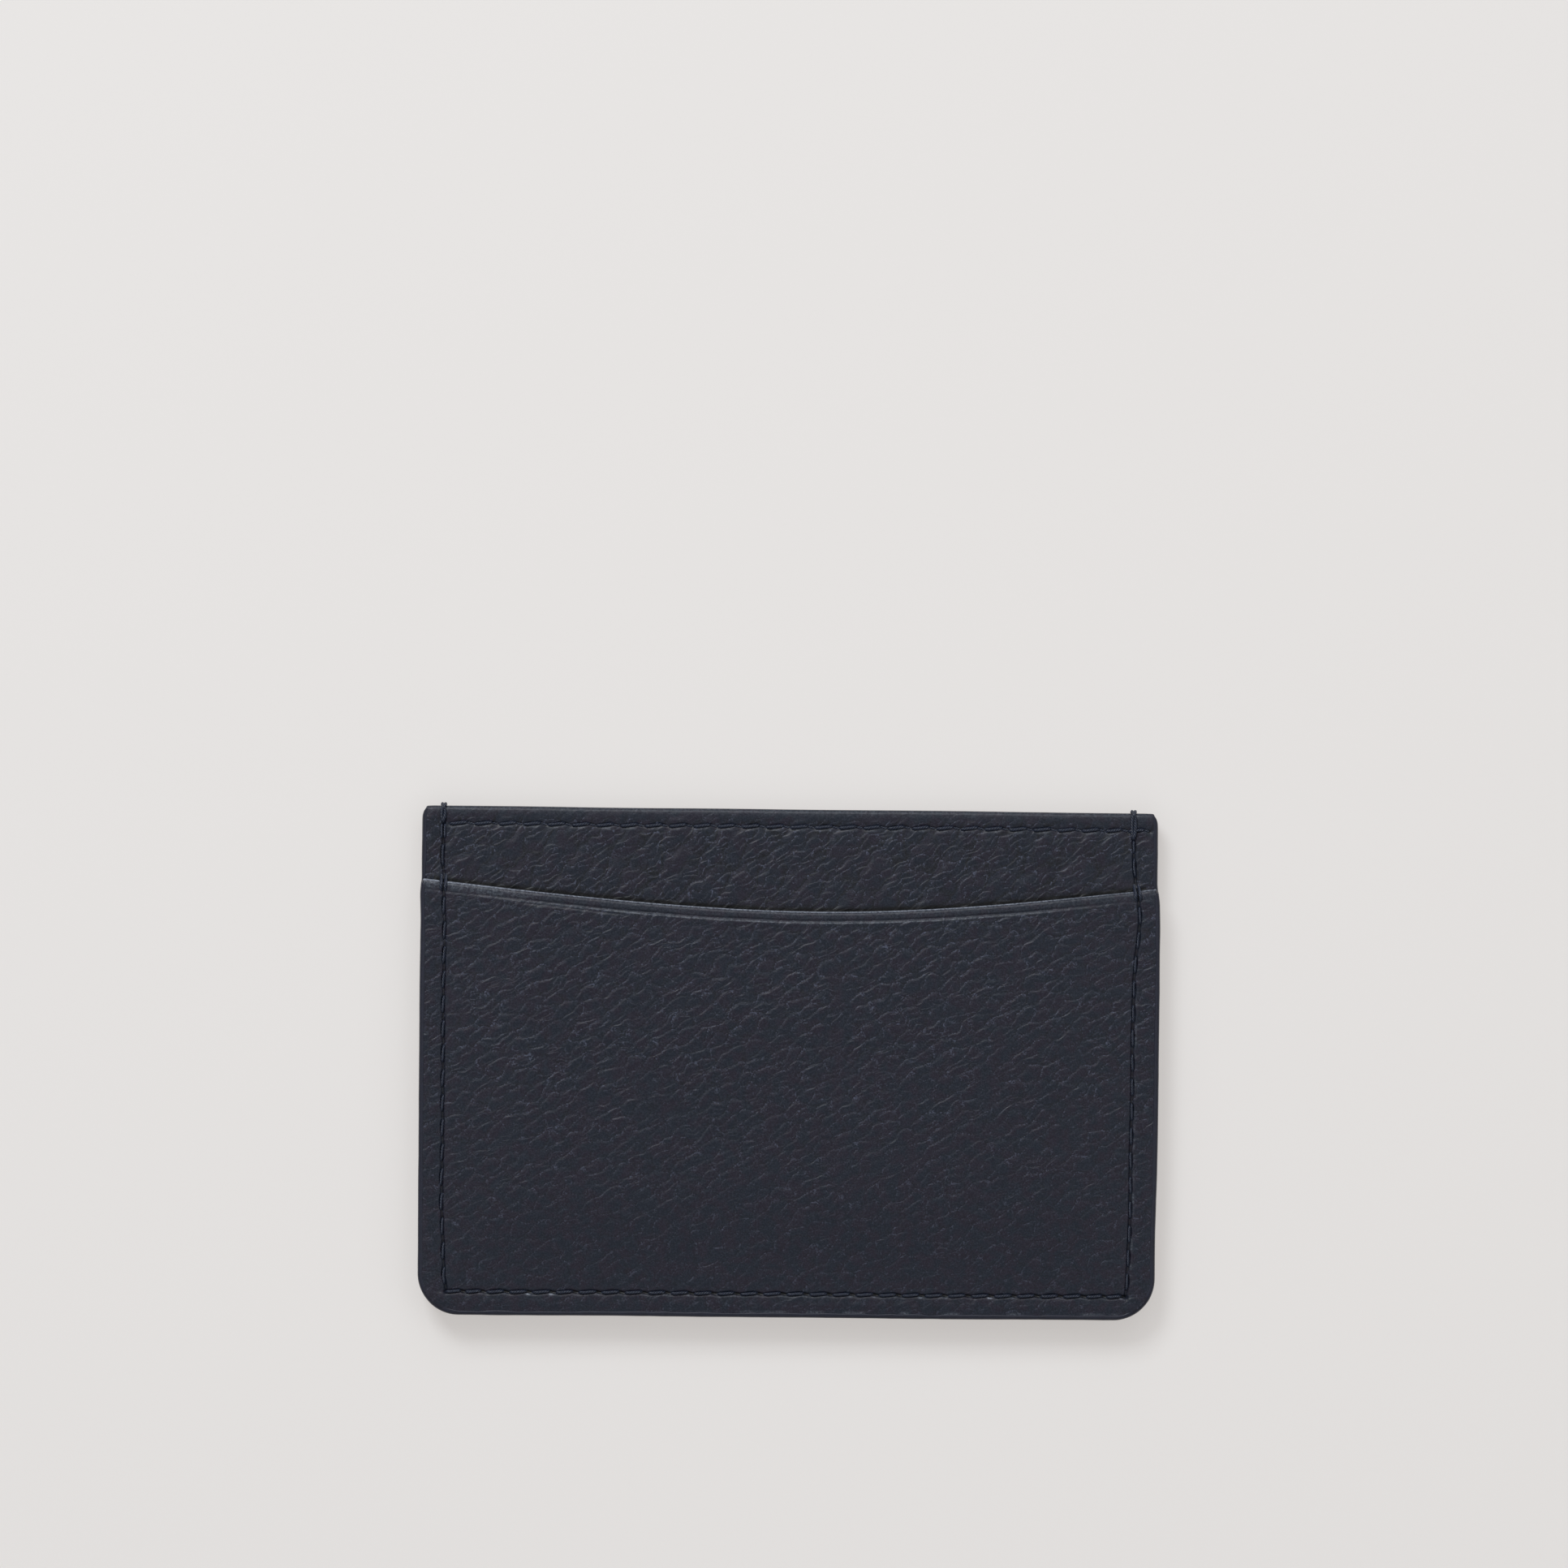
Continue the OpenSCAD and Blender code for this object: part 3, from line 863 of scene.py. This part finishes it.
def seamPaths(needle):
    kind = "needle" if needle else "bobbin"
    sideLift, bottomLift = thread["sideLift"][kind], thread["bottomLift"][kind]
    thin, bottomThin = thread["sideSize"], thread["bottomSize"]
    slant, gap = stitching["sideSlant"], thread["pairGap"]
    upperSlant = slant * thread["upperSlantShare"]
    paths = []
    for side in (-1, 1):
        upper = upperHoles[side][::-1]
        doubled = stitching["leftDouble"] if side < 0 else stitching["rightDouble"]
        for lane in (-gap, gap):
            wrap = wrapPath(side, lane, sideLift + thread["wrapLift"], upper[1])
            paths.append((wrap, thread["wrapSize"]))
        for n in range(1, len(upper) - 1):
            lanes = (-gap, gap) if n < doubled else (0.0,)
            lift = sideLift + thread["upperLift" if n >= doubled else "doubledLift"]
            for lane in lanes:
                at = side * seamX + lane
                paths.append((runPath(upper[n:n + 2], at, True, upperSlant, lift, topSurface), thin))
        lower = lowerHoles[side][::-1]
        for lane in (-gap, gap):
            at = side * seamX + thread["mouthStitchSpread"] * lane
            step = runPath(lower[:2], at, True, 0.0, sideLift + thread["mouthStitchLift"], topSurface)
            step[:, 2] = soften(step[:, 2], 2)
            paths.append((step, thread["mouthStitchSize"]))
        run = runPath(lower[1:], side * seamX, True, slant, sideLift, topSurface, flip=side)
        paths.append((run, thin))
    run = runPath(bottomHoles, seamBottomY, False, stitching["bottomSlant"], bottomLift, topSurface)
    paths.append((run, bottomThin))
    return paths


def hemPaths(outside):
    if outside:
        def surface(x, y):
            return halfHeight("panel", x, y)
        run = runPath(hemHoles, hemY, False, stitching["hemSlant"], thread["hemLift"], surface)
        return [(run, 1.0)]

    def inside(x, y):
        # measured as a depth from the middle, so the stitches stand towards the compartment
        return -(halfHeight("panel", x, y) - holder["leatherT"])
    slant, lift = thread["hemBobbin"]
    path = runPath(hemHoles, hemY, False, slant, lift, inside)
    path[:, 2] *= -1.0
    return [(path, 1.0)]


# The coat over the cut edges.
coat = {
    "lip": 0.36,
    "lipWander": 0.12,
    "cornerSteps": 22,
    "step": 0.45,
}


def edgePath():
    # down the left side, round the bottom and up the right side, with the way out at each point
    r = holder["cornerRadius"] - coatT
    high = topY - 0.35
    halfW, low = leatherHalfW, leatherBottomY
    atTop = (high, 0.4, 0.12)
    down = spread(low + r, high, coat["step"], [(float(mouthY(-halfW)), 0.6, 0.12), atTop])[::-1]
    up = spread(low + r, high, coat["step"], [(float(mouthY(halfW)), 0.6, 0.12), atTop])
    turn = np.linspace(0.0, math.pi / 2, coat["cornerSteps"] + 1)[1:-1]
    across = np.linspace(-halfW + r, halfW - r, int((2 * halfW - 2 * r) / coat["step"]))
    x = np.concatenate([np.full(len(down), -halfW), -halfW + r - r * np.cos(turn), across,
                        halfW - r + r * np.sin(turn), np.full(len(up), halfW)])
    y = np.concatenate([down, low + r - r * np.sin(turn), np.full(len(across), low),
                        low + r - r * np.cos(turn), up])
    outX = np.concatenate([np.full(len(down), -1.0), -np.cos(turn), np.zeros(len(across)),
                           np.sin(turn), np.ones(len(up))])
    outY = np.concatenate([np.zeros(len(down)), -np.sin(turn), np.full(len(across), -1.0),
                           -np.cos(turn), np.zeros(len(up))])
    return x, y, outX, outY


def coatHeight(x, y):
    # the coat covers the pocket's edge up to the mouth and only the body's above it
    step = smooth((y - mouthY(x) + 0.75) / 0.6)
    below = halfHeight("pocket", x, y)
    above = halfHeight("panel", x, y)
    return below + (above - below) * step


def makeCoat(material):
    x, y, outX, outY = edgePath()
    length = np.concatenate([[0.0], np.cumsum(np.hypot(np.diff(x), np.diff(y)))])
    # one side of the profile from the lip's border to the middle: out, share of height, lift
    lip = coat["lip"]
    front = [(-lip, 1.0, -0.16), (-lip, 1.0, -0.03), (-lip + 0.06, 1.0, 0.02), (-lip * 0.55, 1.0, 0.045),
             (-0.12, 1.0, 0.03), (0.06, 1.0, -0.03), (0.18, 1.0, -0.14), (0.26, 1.0, -0.32),
             (0.31, 1.0, -0.6), (0.335, 0.45, -0.1), (0.345, 0.15, 0.0)]
    back = [(n, -g, -v) for n, g, v in reversed(front)]
    inner = [(-0.05, -0.9, 0.0), (-0.05, 0.0, 0.0), (-0.05, 0.9, 0.0)]
    profile = np.array(front + back + inner)
    sides = len(profile)
    bm = bmesh.new()
    countingGrid(bm, len(x) - 1, sides, 0)
    for v in bm.verts:
        if round(v.co.y) == sides:
            v.co.y = 0.0
    bmesh.ops.remove_doubles(bm, verts=bm.verts[:], dist=0.01)
    ends = [e for e in bm.edges if e.is_boundary]
    bmesh.ops.holes_fill(bm, edges=ends, sides=0)
    mesh = bpy.data.meshes.new("edgePaint")
    bm.to_mesh(mesh)
    bm.free()
    count = np.rint(readPoints(mesh)).astype(int)
    i, j = count[:, 0], count[:, 1] % sides
    out, share, lift = profile[j, 0], profile[j, 1], profile[j, 2]
    toEnd = np.minimum(length[i], length[-1] - length[i])
    taper = np.sqrt(np.clip(toEnd / 0.9, 0.02, 1.0))
    spot = length[i] * 0.5 - 50.0
    wander = lineNoise(spot, 1.1, 6.6) + 0.6 * lineNoise(spot, 4.0, 2.6)
    onLip = smooth((-out - 0.08) / 0.3)
    out = out - coat["lipWander"] * wander * onLip
    out = np.where(out > 0, out * taper * (1.0 + 0.06 * wander), out)
    px = x[i] + outX[i] * out
    py = y[i] + outY[i] * out
    height = coatHeight(x[i], y[i])
    pressed = holder["edgePress"] * (1.0 - smooth(np.clip(-out, 0.0, None) / holder["pressReach"]))
    z = share * (height - pressed) + lift + np.sign(share) * 0.02
    px, py = handMade(px, py)
    finishMesh(mesh, np.stack([px, py, midZ + z], axis=1))
    print("edgePaint", len(mesh.polygons), "faces")
    return addPiece("edgePaint", mesh, "edge_coat", material)


def colour(hexText):
    parts = [int(hexText[n:n + 2], 16) / 255 for n in (0, 2, 4)]
    return [p / 12.92 if p <= 0.04045 else ((p + 0.055) / 1.055) ** 2.4 for p in parts] + [1.0]


def addNode(tree, kind, settings=None, links=None):
    # settings go to the node or to its inputs, and links join other nodes' outputs to its inputs
    node = tree.nodes.new(kind)
    for name, value in (settings or {}).items():
        if isinstance(name, str) and hasattr(node, name):
            setattr(node, name, value)
    for name, value in (settings or {}).items():
        if not (isinstance(name, str) and hasattr(node, name)):
            node.inputs[name].default_value = value
    for name, source in (links or {}).items():
        tree.links.new(source, node.inputs[name])
    return node


def newMaterial(name):
    material = bpy.data.materials.new(name)
    material.use_nodes = True
    tree = material.node_tree
    tree.nodes.clear()
    shader = addNode(tree, "ShaderNodeBsdfPrincipled")
    addNode(tree, "ShaderNodeOutputMaterial", {}, {"Surface": shader.outputs["BSDF"]})
    return material, tree, shader


def inMillimetres(tree):
    place = addNode(tree, "ShaderNodeTexCoord")
    return addNode(tree, "ShaderNodeMapping", {"Scale": (1 / mm, 1 / mm, 1 / mm)},
                   {"Vector": place.outputs["Object"]}).outputs["Vector"]


def addMath(tree, operation, a, b=None, c=None):
    node = addNode(tree, "ShaderNodeMath", {"operation": operation})
    for n, value in enumerate((a, b, c)):
        if value is None:
            continue
        if isinstance(value, (int, float)):
            node.inputs[n].default_value = value
        else:
            tree.links.new(value, node.inputs[n])
    return node.outputs[0]


def addRange(tree, value, low, high, toLow=0.0, toHigh=1.0):
    settings = {"interpolation_type": "SMOOTHSTEP", "From Min": low, "From Max": high,
                "To Min": toLow, "To Max": toHigh}
    return addNode(tree, "ShaderNodeMapRange", settings, {"Value": value}).outputs["Result"]


def addNoise(tree, vector, scale, detail=2.0, roughness=0.5):
    settings = {"Scale": scale, "Detail": detail, "Roughness": roughness}
    return addNode(tree, "ShaderNodeTexNoise", settings, {"Vector": vector})


def addMix(tree, share, a, b):
    node = addNode(tree, "ShaderNodeMix", {"data_type": "RGBA"})
    for n, value in ((0, share), (6, a), (7, b)):
        if isinstance(value, (int, float, list)):
            node.inputs[n].default_value = value
        else:
            tree.links.new(value, node.inputs[n])
    return node.outputs[2]


leatherLook = {
    "teal": "111824",
    "plum": "1a1623",
    # the next two tones are painted: a highlight on the pebbles' lit borders and shade in their hollows
    "crest": "464b5b",
    "valleyShadeTone": "0d0f15",
    # rubbing with painted highlights, then the brightest painted highlight, then painted shade in the
    # needle slits
    "wornAndLitTone": "60666f",
    "polishAndHighlight": "9297a3",
    "hole": "050608",
    "roughness": 0.42,
    "specular": 0.32,
    "borderWidth": 0.19,
    "poreDepth": 0.028,
    "poreShine": 0.13,
    # the grain's relief, with its painted highlights and shade, is weaker towards the bottom
    "flatterBelow": (-32.0, 12.0, 0.62),
}
# each layer of grain: turn in degrees, cell size in mm, rounding as a share of a cell, height in mm,
# how strong the painted highlight on its lit borders and the painted shade in its hollows are, size of
# its patches, how much of the surface has it
pocketGrain = (
    (-35.0, (3.0, 1.45), 0.30, 0.056, 1.20, 0.7, 0.20, (0.22, 0.52)),
    (-24.0, (1.7, 0.72), 0.30, 0.024, 1.0, 0.5, 0.34, (0.36, 0.60)),
)
bodyGrain = (
    (-58.0, (6.5, 2.9), 0.36, 0.100, 0.40, 1.0, 0.14, (0.20, 0.45)),
    (-32.0, (2.1, 0.9), 0.32, 0.040, 1.7, 0.8, 0.32, (0.28, 0.54)),
)


def pebbledLeather(name, grains):
    # full-grain calf, drum dyed, with a soft satin finish
    look = leatherLook
    material, tree, shader = newMaterial(name)
    place = inMillimetres(tree)
    bend = addNoise(tree, place, 0.40, 1.0)
    bent = addNode(tree, "ShaderNodeVectorMath", {"operation": "MULTIPLY_ADD"},
                   {0: bend.outputs["Color"]})
    bent.inputs[1].default_value = (2.0, 2.0, 0.0)
    tree.links.new(place, bent.inputs[2])
    pores = addNoise(tree, place, 4.5, 3.0, 0.62).outputs["Fac"]
    calm = addNode(tree, "ShaderNodeAttribute", {"attribute_name": "calm"}).outputs["Fac"]
    up = addNode(tree, "ShaderNodeSeparateXYZ", {}, {"Vector": place}).outputs["Y"]
    low, high, least = look["flatterBelow"]
    flattened = addMath(tree, "MULTIPLY", calm, least)
    amount = addMath(tree, "SUBTRACT", addRange(tree, up, low, high, least, 1.0), flattened)
    height = addMath(tree, "MULTIPLY", pores, look["poreDepth"])
    # the painted highlight lies on only stretches of each pebble's border
    broken = addRange(tree, addNoise(tree, place, 1.1, 2.0).outputs["Fac"], 0.40, 0.60, 0.22, 1.0)
    # painted highlight on each pebble's lit upper border, painted shade on its lower border
    crestHighlights, valleyShade = 0.0, 0.0
    for turn, (long, short), rounding, depth, light, paintedShade, patchScale, (few, many) in grains:
        turned = addNode(tree, "ShaderNodeMapping", {"Rotation": (0, 0, math.radians(turn))},
                         {"Vector": bent.outputs[0]}).outputs["Vector"]
        scaled = addNode(tree, "ShaderNodeMapping", {"Scale": (1 / long, 1 / short, 1 / short)},
                         {"Vector": turned}).outputs["Vector"]
        cells = {"voronoi_dimensions": "2D", "Scale": 1.0, "Randomness": 0.9}
        home = addNode(tree, "ShaderNodeTexVoronoi", dict(cells, feature="F1"), {"Vector": scaled})
        edge = addNode(tree, "ShaderNodeTexVoronoi", dict(cells, feature="DISTANCE_TO_EDGE"),
                       {"Vector": scaled})
        away = addNode(tree, "ShaderNodeVectorMath", {"operation": "SUBTRACT"},
                       {0: scaled, 1: home.outputs["Position"]}).outputs["Vector"]
        # each pebble is high along its upper side and runs down to nothing at its lower side
        rise = addNode(tree, "ShaderNodeSeparateXYZ", {}, {"Vector": away}).outputs["Y"]
        lean = addRange(tree, rise, -0.45, 0.45)
        inside = addRange(tree, edge.outputs["Distance"], 0.0, rounding)
        patch = addRange(tree, addNoise(tree, place, patchScale, 3.0).outputs["Fac"], few, many)
        strength = addMath(tree, "MULTIPLY", patch, amount)
        raised = addMath(tree, "MULTIPLY", addMath(tree, "MULTIPLY", inside, lean), strength)
        height = addMath(tree, "MULTIPLY_ADD", raised, depth, height)
        border = addRange(tree, edge.outputs["Distance"], 0.0, look["borderWidth"], 1.0, 0.0)
        border = addMath(tree, "MULTIPLY", border, strength)
        upper = addMath(tree, "MULTIPLY", addMath(tree, "MULTIPLY", border, broken),
                        addMath(tree, "MULTIPLY", lean, light))
        lower = addMath(tree, "MULTIPLY", border, addMath(tree, "MULTIPLY_ADD", lean, -paintedShade, paintedShade))
        crestHighlights = addMath(tree, "MAXIMUM", crestHighlights, upper)
        valleyShade = addMath(tree, "MAXIMUM", valleyShade, lower)
    bump = addNode(tree, "ShaderNodeBump", {"Strength": 1.0, "Distance": mm}, {"Height": height})
    drift = addRange(tree, addNoise(tree, place, 0.55, 3.0).outputs["Fac"], 0.38, 0.62)
    base = addMix(tree, drift, colour(look["teal"]), colour(look["plum"]))
    # painted shade in the hollows on each pebble's lower side
    base = addMix(tree, valleyShade, base, colour(look["valleyShadeTone"]))
    # painted highlights on the lit borders and on pore speckles
    speckle = addRange(tree, pores, 0.42, 0.64, 0.0, 1.0)
    crestHighlights = addMath(tree, "MAXIMUM", crestHighlights, look["poreShine"])
    base = addMix(tree, addMath(tree, "MULTIPLY", crestHighlights, speckle), base, colour(look["crest"]))
    # lighter for rubbing and for painted highlights along the folds, the mouth and by the seams; the
    # brightest part is painted highlight
    wearAndHighlight = addNode(tree, "ShaderNodeAttribute", {"attribute_name": "wearAndHighlight"}).outputs["Fac"]
    scuffs = addRange(tree, addNoise(tree, place, 3.0, 4.0, 0.65).outputs["Fac"], 0.40, 0.64, 0.15, 1.0)
    base = addMix(tree, addMath(tree, "MULTIPLY", wearAndHighlight, scuffs), base, colour(look["wornAndLitTone"]))
    polishAndHighlightShare = addMath(tree, "MULTIPLY", addRange(tree, wearAndHighlight, 0.55, 1.0),
                     addMath(tree, "POWER", scuffs, 0.5))
    base = addMix(tree, polishAndHighlightShare, base, colour(look["polishAndHighlight"]))
    # painted shade: near black in the needle slits, along the stitch beds and beside the pocket's mouth
    slit = addNode(tree, "ShaderNodeAttribute", {"attribute_name": "slit"}).outputs["Fac"]
    base = addMix(tree, addRange(tree, slit, 0.25, 0.7), base, colour(look["hole"]))
    roughness = addRange(tree, pores, 0.2, 0.8, look["roughness"] - 0.05, look["roughness"] + 0.07)
    tree.links.new(base, shader.inputs["Base Color"])
    tree.links.new(roughness, shader.inputs["Roughness"])
    tree.links.new(bump.outputs["Normal"], shader.inputs["Normal"])
    shader.inputs["Specular IOR Level"].default_value = look["specular"]
    shader.inputs["IOR"].default_value = 1.5
    return material


def plainSurface(name, darkTone, lightTone, roughness, noiseScale, bumpHeight, specular=0.3):
    # a material that is one tone with a fine mottle and matching bump
    material, tree, shader = newMaterial(name)
    place = inMillimetres(tree)
    mottle = addNoise(tree, place, noiseScale, 4.0, 0.6).outputs["Fac"]
    base = addMix(tree, addRange(tree, mottle, 0.3, 0.7), colour(darkTone), colour(lightTone))
    height = addMath(tree, "MULTIPLY", mottle, bumpHeight)
    bump = addNode(tree, "ShaderNodeBump", {"Strength": 1.0, "Distance": mm}, {"Height": height})
    tree.links.new(base, shader.inputs["Base Color"])
    tree.links.new(bump.outputs["Normal"], shader.inputs["Normal"])
    shader.inputs["Roughness"].default_value = roughness
    shader.inputs["Specular IOR Level"].default_value = specular
    return material, tree, shader, base


def wovenLining():
    # plain-woven polyester lining, about 40 yarns to the centimetre
    material, tree, shader = newMaterial("wovenLining")
    place = inMillimetres(tree)
    yarns = {"Scale": 0.64, "Distortion": 0.4}
    warp = addNode(tree, "ShaderNodeTexWave", dict(yarns, bands_direction="X"),
                   {"Vector": place}).outputs["Fac"]
    weft = addNode(tree, "ShaderNodeTexWave", dict(yarns, bands_direction="Y"),
                   {"Vector": place}).outputs["Fac"]
    checks = addNode(tree, "ShaderNodeTexChecker", {"Scale": 2.04}, {"Vector": place}).outputs["Fac"]
    over = addNode(tree, "ShaderNodeMix", {"data_type": "FLOAT"},
                   {0: checks, 2: warp, 3: weft}).outputs[0]
    base = addMix(tree, over, colour("15171d"), colour("23262e"))
    height = addMath(tree, "MULTIPLY", over, 0.04)
    bump = addNode(tree, "ShaderNodeBump", {"Strength": 1.0, "Distance": mm}, {"Height": height})
    tree.links.new(base, shader.inputs["Base Color"])
    tree.links.new(bump.outputs["Normal"], shader.inputs["Normal"])
    shader.inputs["Roughness"].default_value = 0.75
    return material


pocketMaterial = pebbledLeather("pebbledLeather", pocketGrain)
bodyMaterial = pebbledLeather("pebbledLeatherBody", bodyGrain)
# flexible acrylic edge paint, smooth and a little bluer than the leather
paintMaterial = plainSurface("edgePaint", "151826", "191c2c", 0.42, 0.9, 0.02, 0.4)[0]
# bonded polyester thread
threadMaterial = plainSurface("polyesterThread", "121722", "2a3245", 0.40, 7.0, 0.02, 0.5)[0]
# non-woven reinforcing tape
tapeMaterial = plainSurface("nonWovenTape", "a8a498", "bdb9ad", 0.85, 3.0, 0.03)[0]
liningMaterial = wovenLining()
print("materials made")


def straightTop(x):
    return topY + 0.0 * np.asarray(x, float)


def pocketSheetHeight(offset):
    return lambda x, y: halfHeight("pocket", x, y) - offset


def panelSheetHeight(offset):
    return lambda x, y: halfHeight("panel", x, y) - offset


def panelRows(rows):
    # wide spacing where the pocket hides the body, close spacing above it
    low = leatherBottomY + holder["cutRounding"]
    hidden = smooth((float(mouthY(0.0)) - 2.0 - low - rows) / 2.0)
    return 0.3 + 2.2 * hidden


# Both halves, then the seam and the coat that join them.
halves = {
    "front": {"face": 1, "seeds": (11.3, 27.1), "needle": True},
    "back": {"face": -1, "seeds": (45.9, 63.4), "needle": False},
}
pocketStep = {
    "columns": 0.30,
    "base": 0.33,
    "fine": [(seamBottomY, 0.4, 0.12), (float(mouthY(0.0)) - 1.6, 1.0, 0.15)],
}
panelStep = {"columns": 0.24, "base": panelRows, "fine": [(hemY, 0.5, 0.11)]}
tapeDepth = holder["paredT"] + 0.015
sheetLayers = (("Pocket", mouthY, pocketSheetHeight), ("Panel", straightTop, panelSheetHeight))

for word, half in halves.items():
    face = half["face"]
    makeLeather(word + "PocketLeather", word + "_pocket", mouthY, pocketSurface, "pocket", face,
                half["seeds"][0], pocketStep, pocketMaterial)
    makeLeather(word + "PanelLeather", word + "_panel", straightTop, panelSurface, "panel", face,
                half["seeds"][1], panelStep, bodyMaterial)
    for part, edge, heights in sheetLayers:
        node = word + "_" + part.lower()
        makeThinSheet(word + part + "Tape", node + "_tape", holder["turnWidth"] - 0.2, 0.62, edge,
                      heights(tapeDepth), holder["tapeT"], face, 0.3, tapeMaterial)
        lining, width, length, area = makeThinSheet(
            word + part + "Lining", node + "_lining", None, holder["turnWidth"] + 0.1, edge,
            heights(holder["leatherT"]), holder["liningT"], face, 0.15, liningMaterial)
        print(lining.name, "flat", round(width, 4), round(length, 4), "area", round(area, 6))
    makeThread(word + "HemThread", word + "_hem_thread", hemPaths(True), True, face, threadMaterial)
    makeThread(word + "HemBobbin", word + "_hem_bobbin", hemPaths(False), False, face, threadMaterial)

makeThread("seamThread", "seam_thread", seamPaths(True), True, 1, threadMaterial)
makeThread("seamBobbin", "seam_bobbin", seamPaths(False), False, -1, threadMaterial)
makeCoat(paintMaterial)
print("pieces built")


# Floor, light and camera.
studio = {
    "floorTone": "a0a09f",
    "floorGlow": 0.535,
    "glowTone": "ebe5e1",
    "floorSize": 1400.0,
    "frameWidth": 214.2,
    "cameraDistance": 1000.0,
    "cameraTurn": 0.64,
    "aim": (0.67, -38.0),
    "ambient": 0.20,
    "ambientTone": "fffdfb",
    "lampTone": "f8fbff",
    # each softbox: where it is (turn from +X, height, in degrees), distance and size in metres, watts
    "softboxes": {
        "key": (116.0, 46.0, 1.3, 0.45, 9.3),
        "fillTop": (80.0, 50.0, 1.3, 0.95, 4.2),
        "fillLeft": (185.0, 52.0, 1.3, 0.95, 1.6),
        "fillRight": (0.0, 52.0, 1.3, 0.95, 2.2),
        "fillBottom": (270.0, 52.0, 1.3, 0.95, 1.6),
    },
}

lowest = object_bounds()[0].z
floorMesh = bpy.data.meshes.new("floor")
bm = bmesh.new()
bmesh.ops.create_grid(bm, x_segments=8, y_segments=8, size=studio["floorSize"] * mm)
bmesh.ops.translate(bm, verts=bm.verts[:], vec=(0, 0, lowest - 0.02 * mm))
bm.to_mesh(floorMesh)
bm.free()
floor = bpy.data.objects.new("floor", floorMesh)
bpy.context.scene.collection.objects.link(floor)
# white acrylic sheet, lit a little from below
board, _, boardShader, _ = plainSurface("acrylicSheet", studio["floorTone"], studio["floorTone"],
                                        0.9, 0.15, 0.01, 0.1)
boardShader.inputs["Emission Color"].default_value = colour(studio["glowTone"])
boardShader.inputs["Emission Strength"].default_value = studio["floorGlow"]
floorMesh.materials.append(board)

world = bpy.data.worlds.new("studio")
bpy.context.scene.world = world
world.use_nodes = True
background = world.node_tree.nodes["Background"]
background.inputs["Color"].default_value = colour(studio["ambientTone"])
background.inputs["Strength"].default_value = studio["ambient"]

for lampName, (azimuth, elevation, distance, size, watts) in studio["softboxes"].items():
    lamp = bpy.data.lights.new(lampName, "AREA")
    lamp.shape = "SQUARE"
    lamp.size = size
    lamp.energy = watts
    lamp.color = colour(studio["lampTone"])[:3]
    box = bpy.data.objects.new(lampName, lamp)
    bpy.context.scene.collection.objects.link(box)
    a, e = math.radians(azimuth), math.radians(elevation)
    towards = Vector((math.cos(a) * math.cos(e), math.sin(a) * math.cos(e), math.sin(e)))
    box.location = towards * distance
    box.rotation_euler = towards.to_track_quat("Z", "Y").to_euler()

cameraData = bpy.data.cameras.new("camera")
cameraData.sensor_width = 36.0
cameraData.lens = 36.0 * studio["cameraDistance"] / studio["frameWidth"]
camera = bpy.data.objects.new("camera", cameraData)
bpy.context.scene.collection.objects.link(camera)
turn = Matrix.Rotation(math.radians(studio["cameraTurn"]), 3, "Z")
place = turn @ Vector((-studio["aim"][0], -studio["aim"][1], 0.0))
camera.location = (place.x * mm, place.y * mm, (midZ + studio["cameraDistance"]) * mm)
camera.rotation_euler = (0.0, 0.0, math.radians(studio["cameraTurn"]))
bpy.context.scene.camera = camera
bpy.context.scene.view_settings.view_transform = "Standard"
print("studio set")
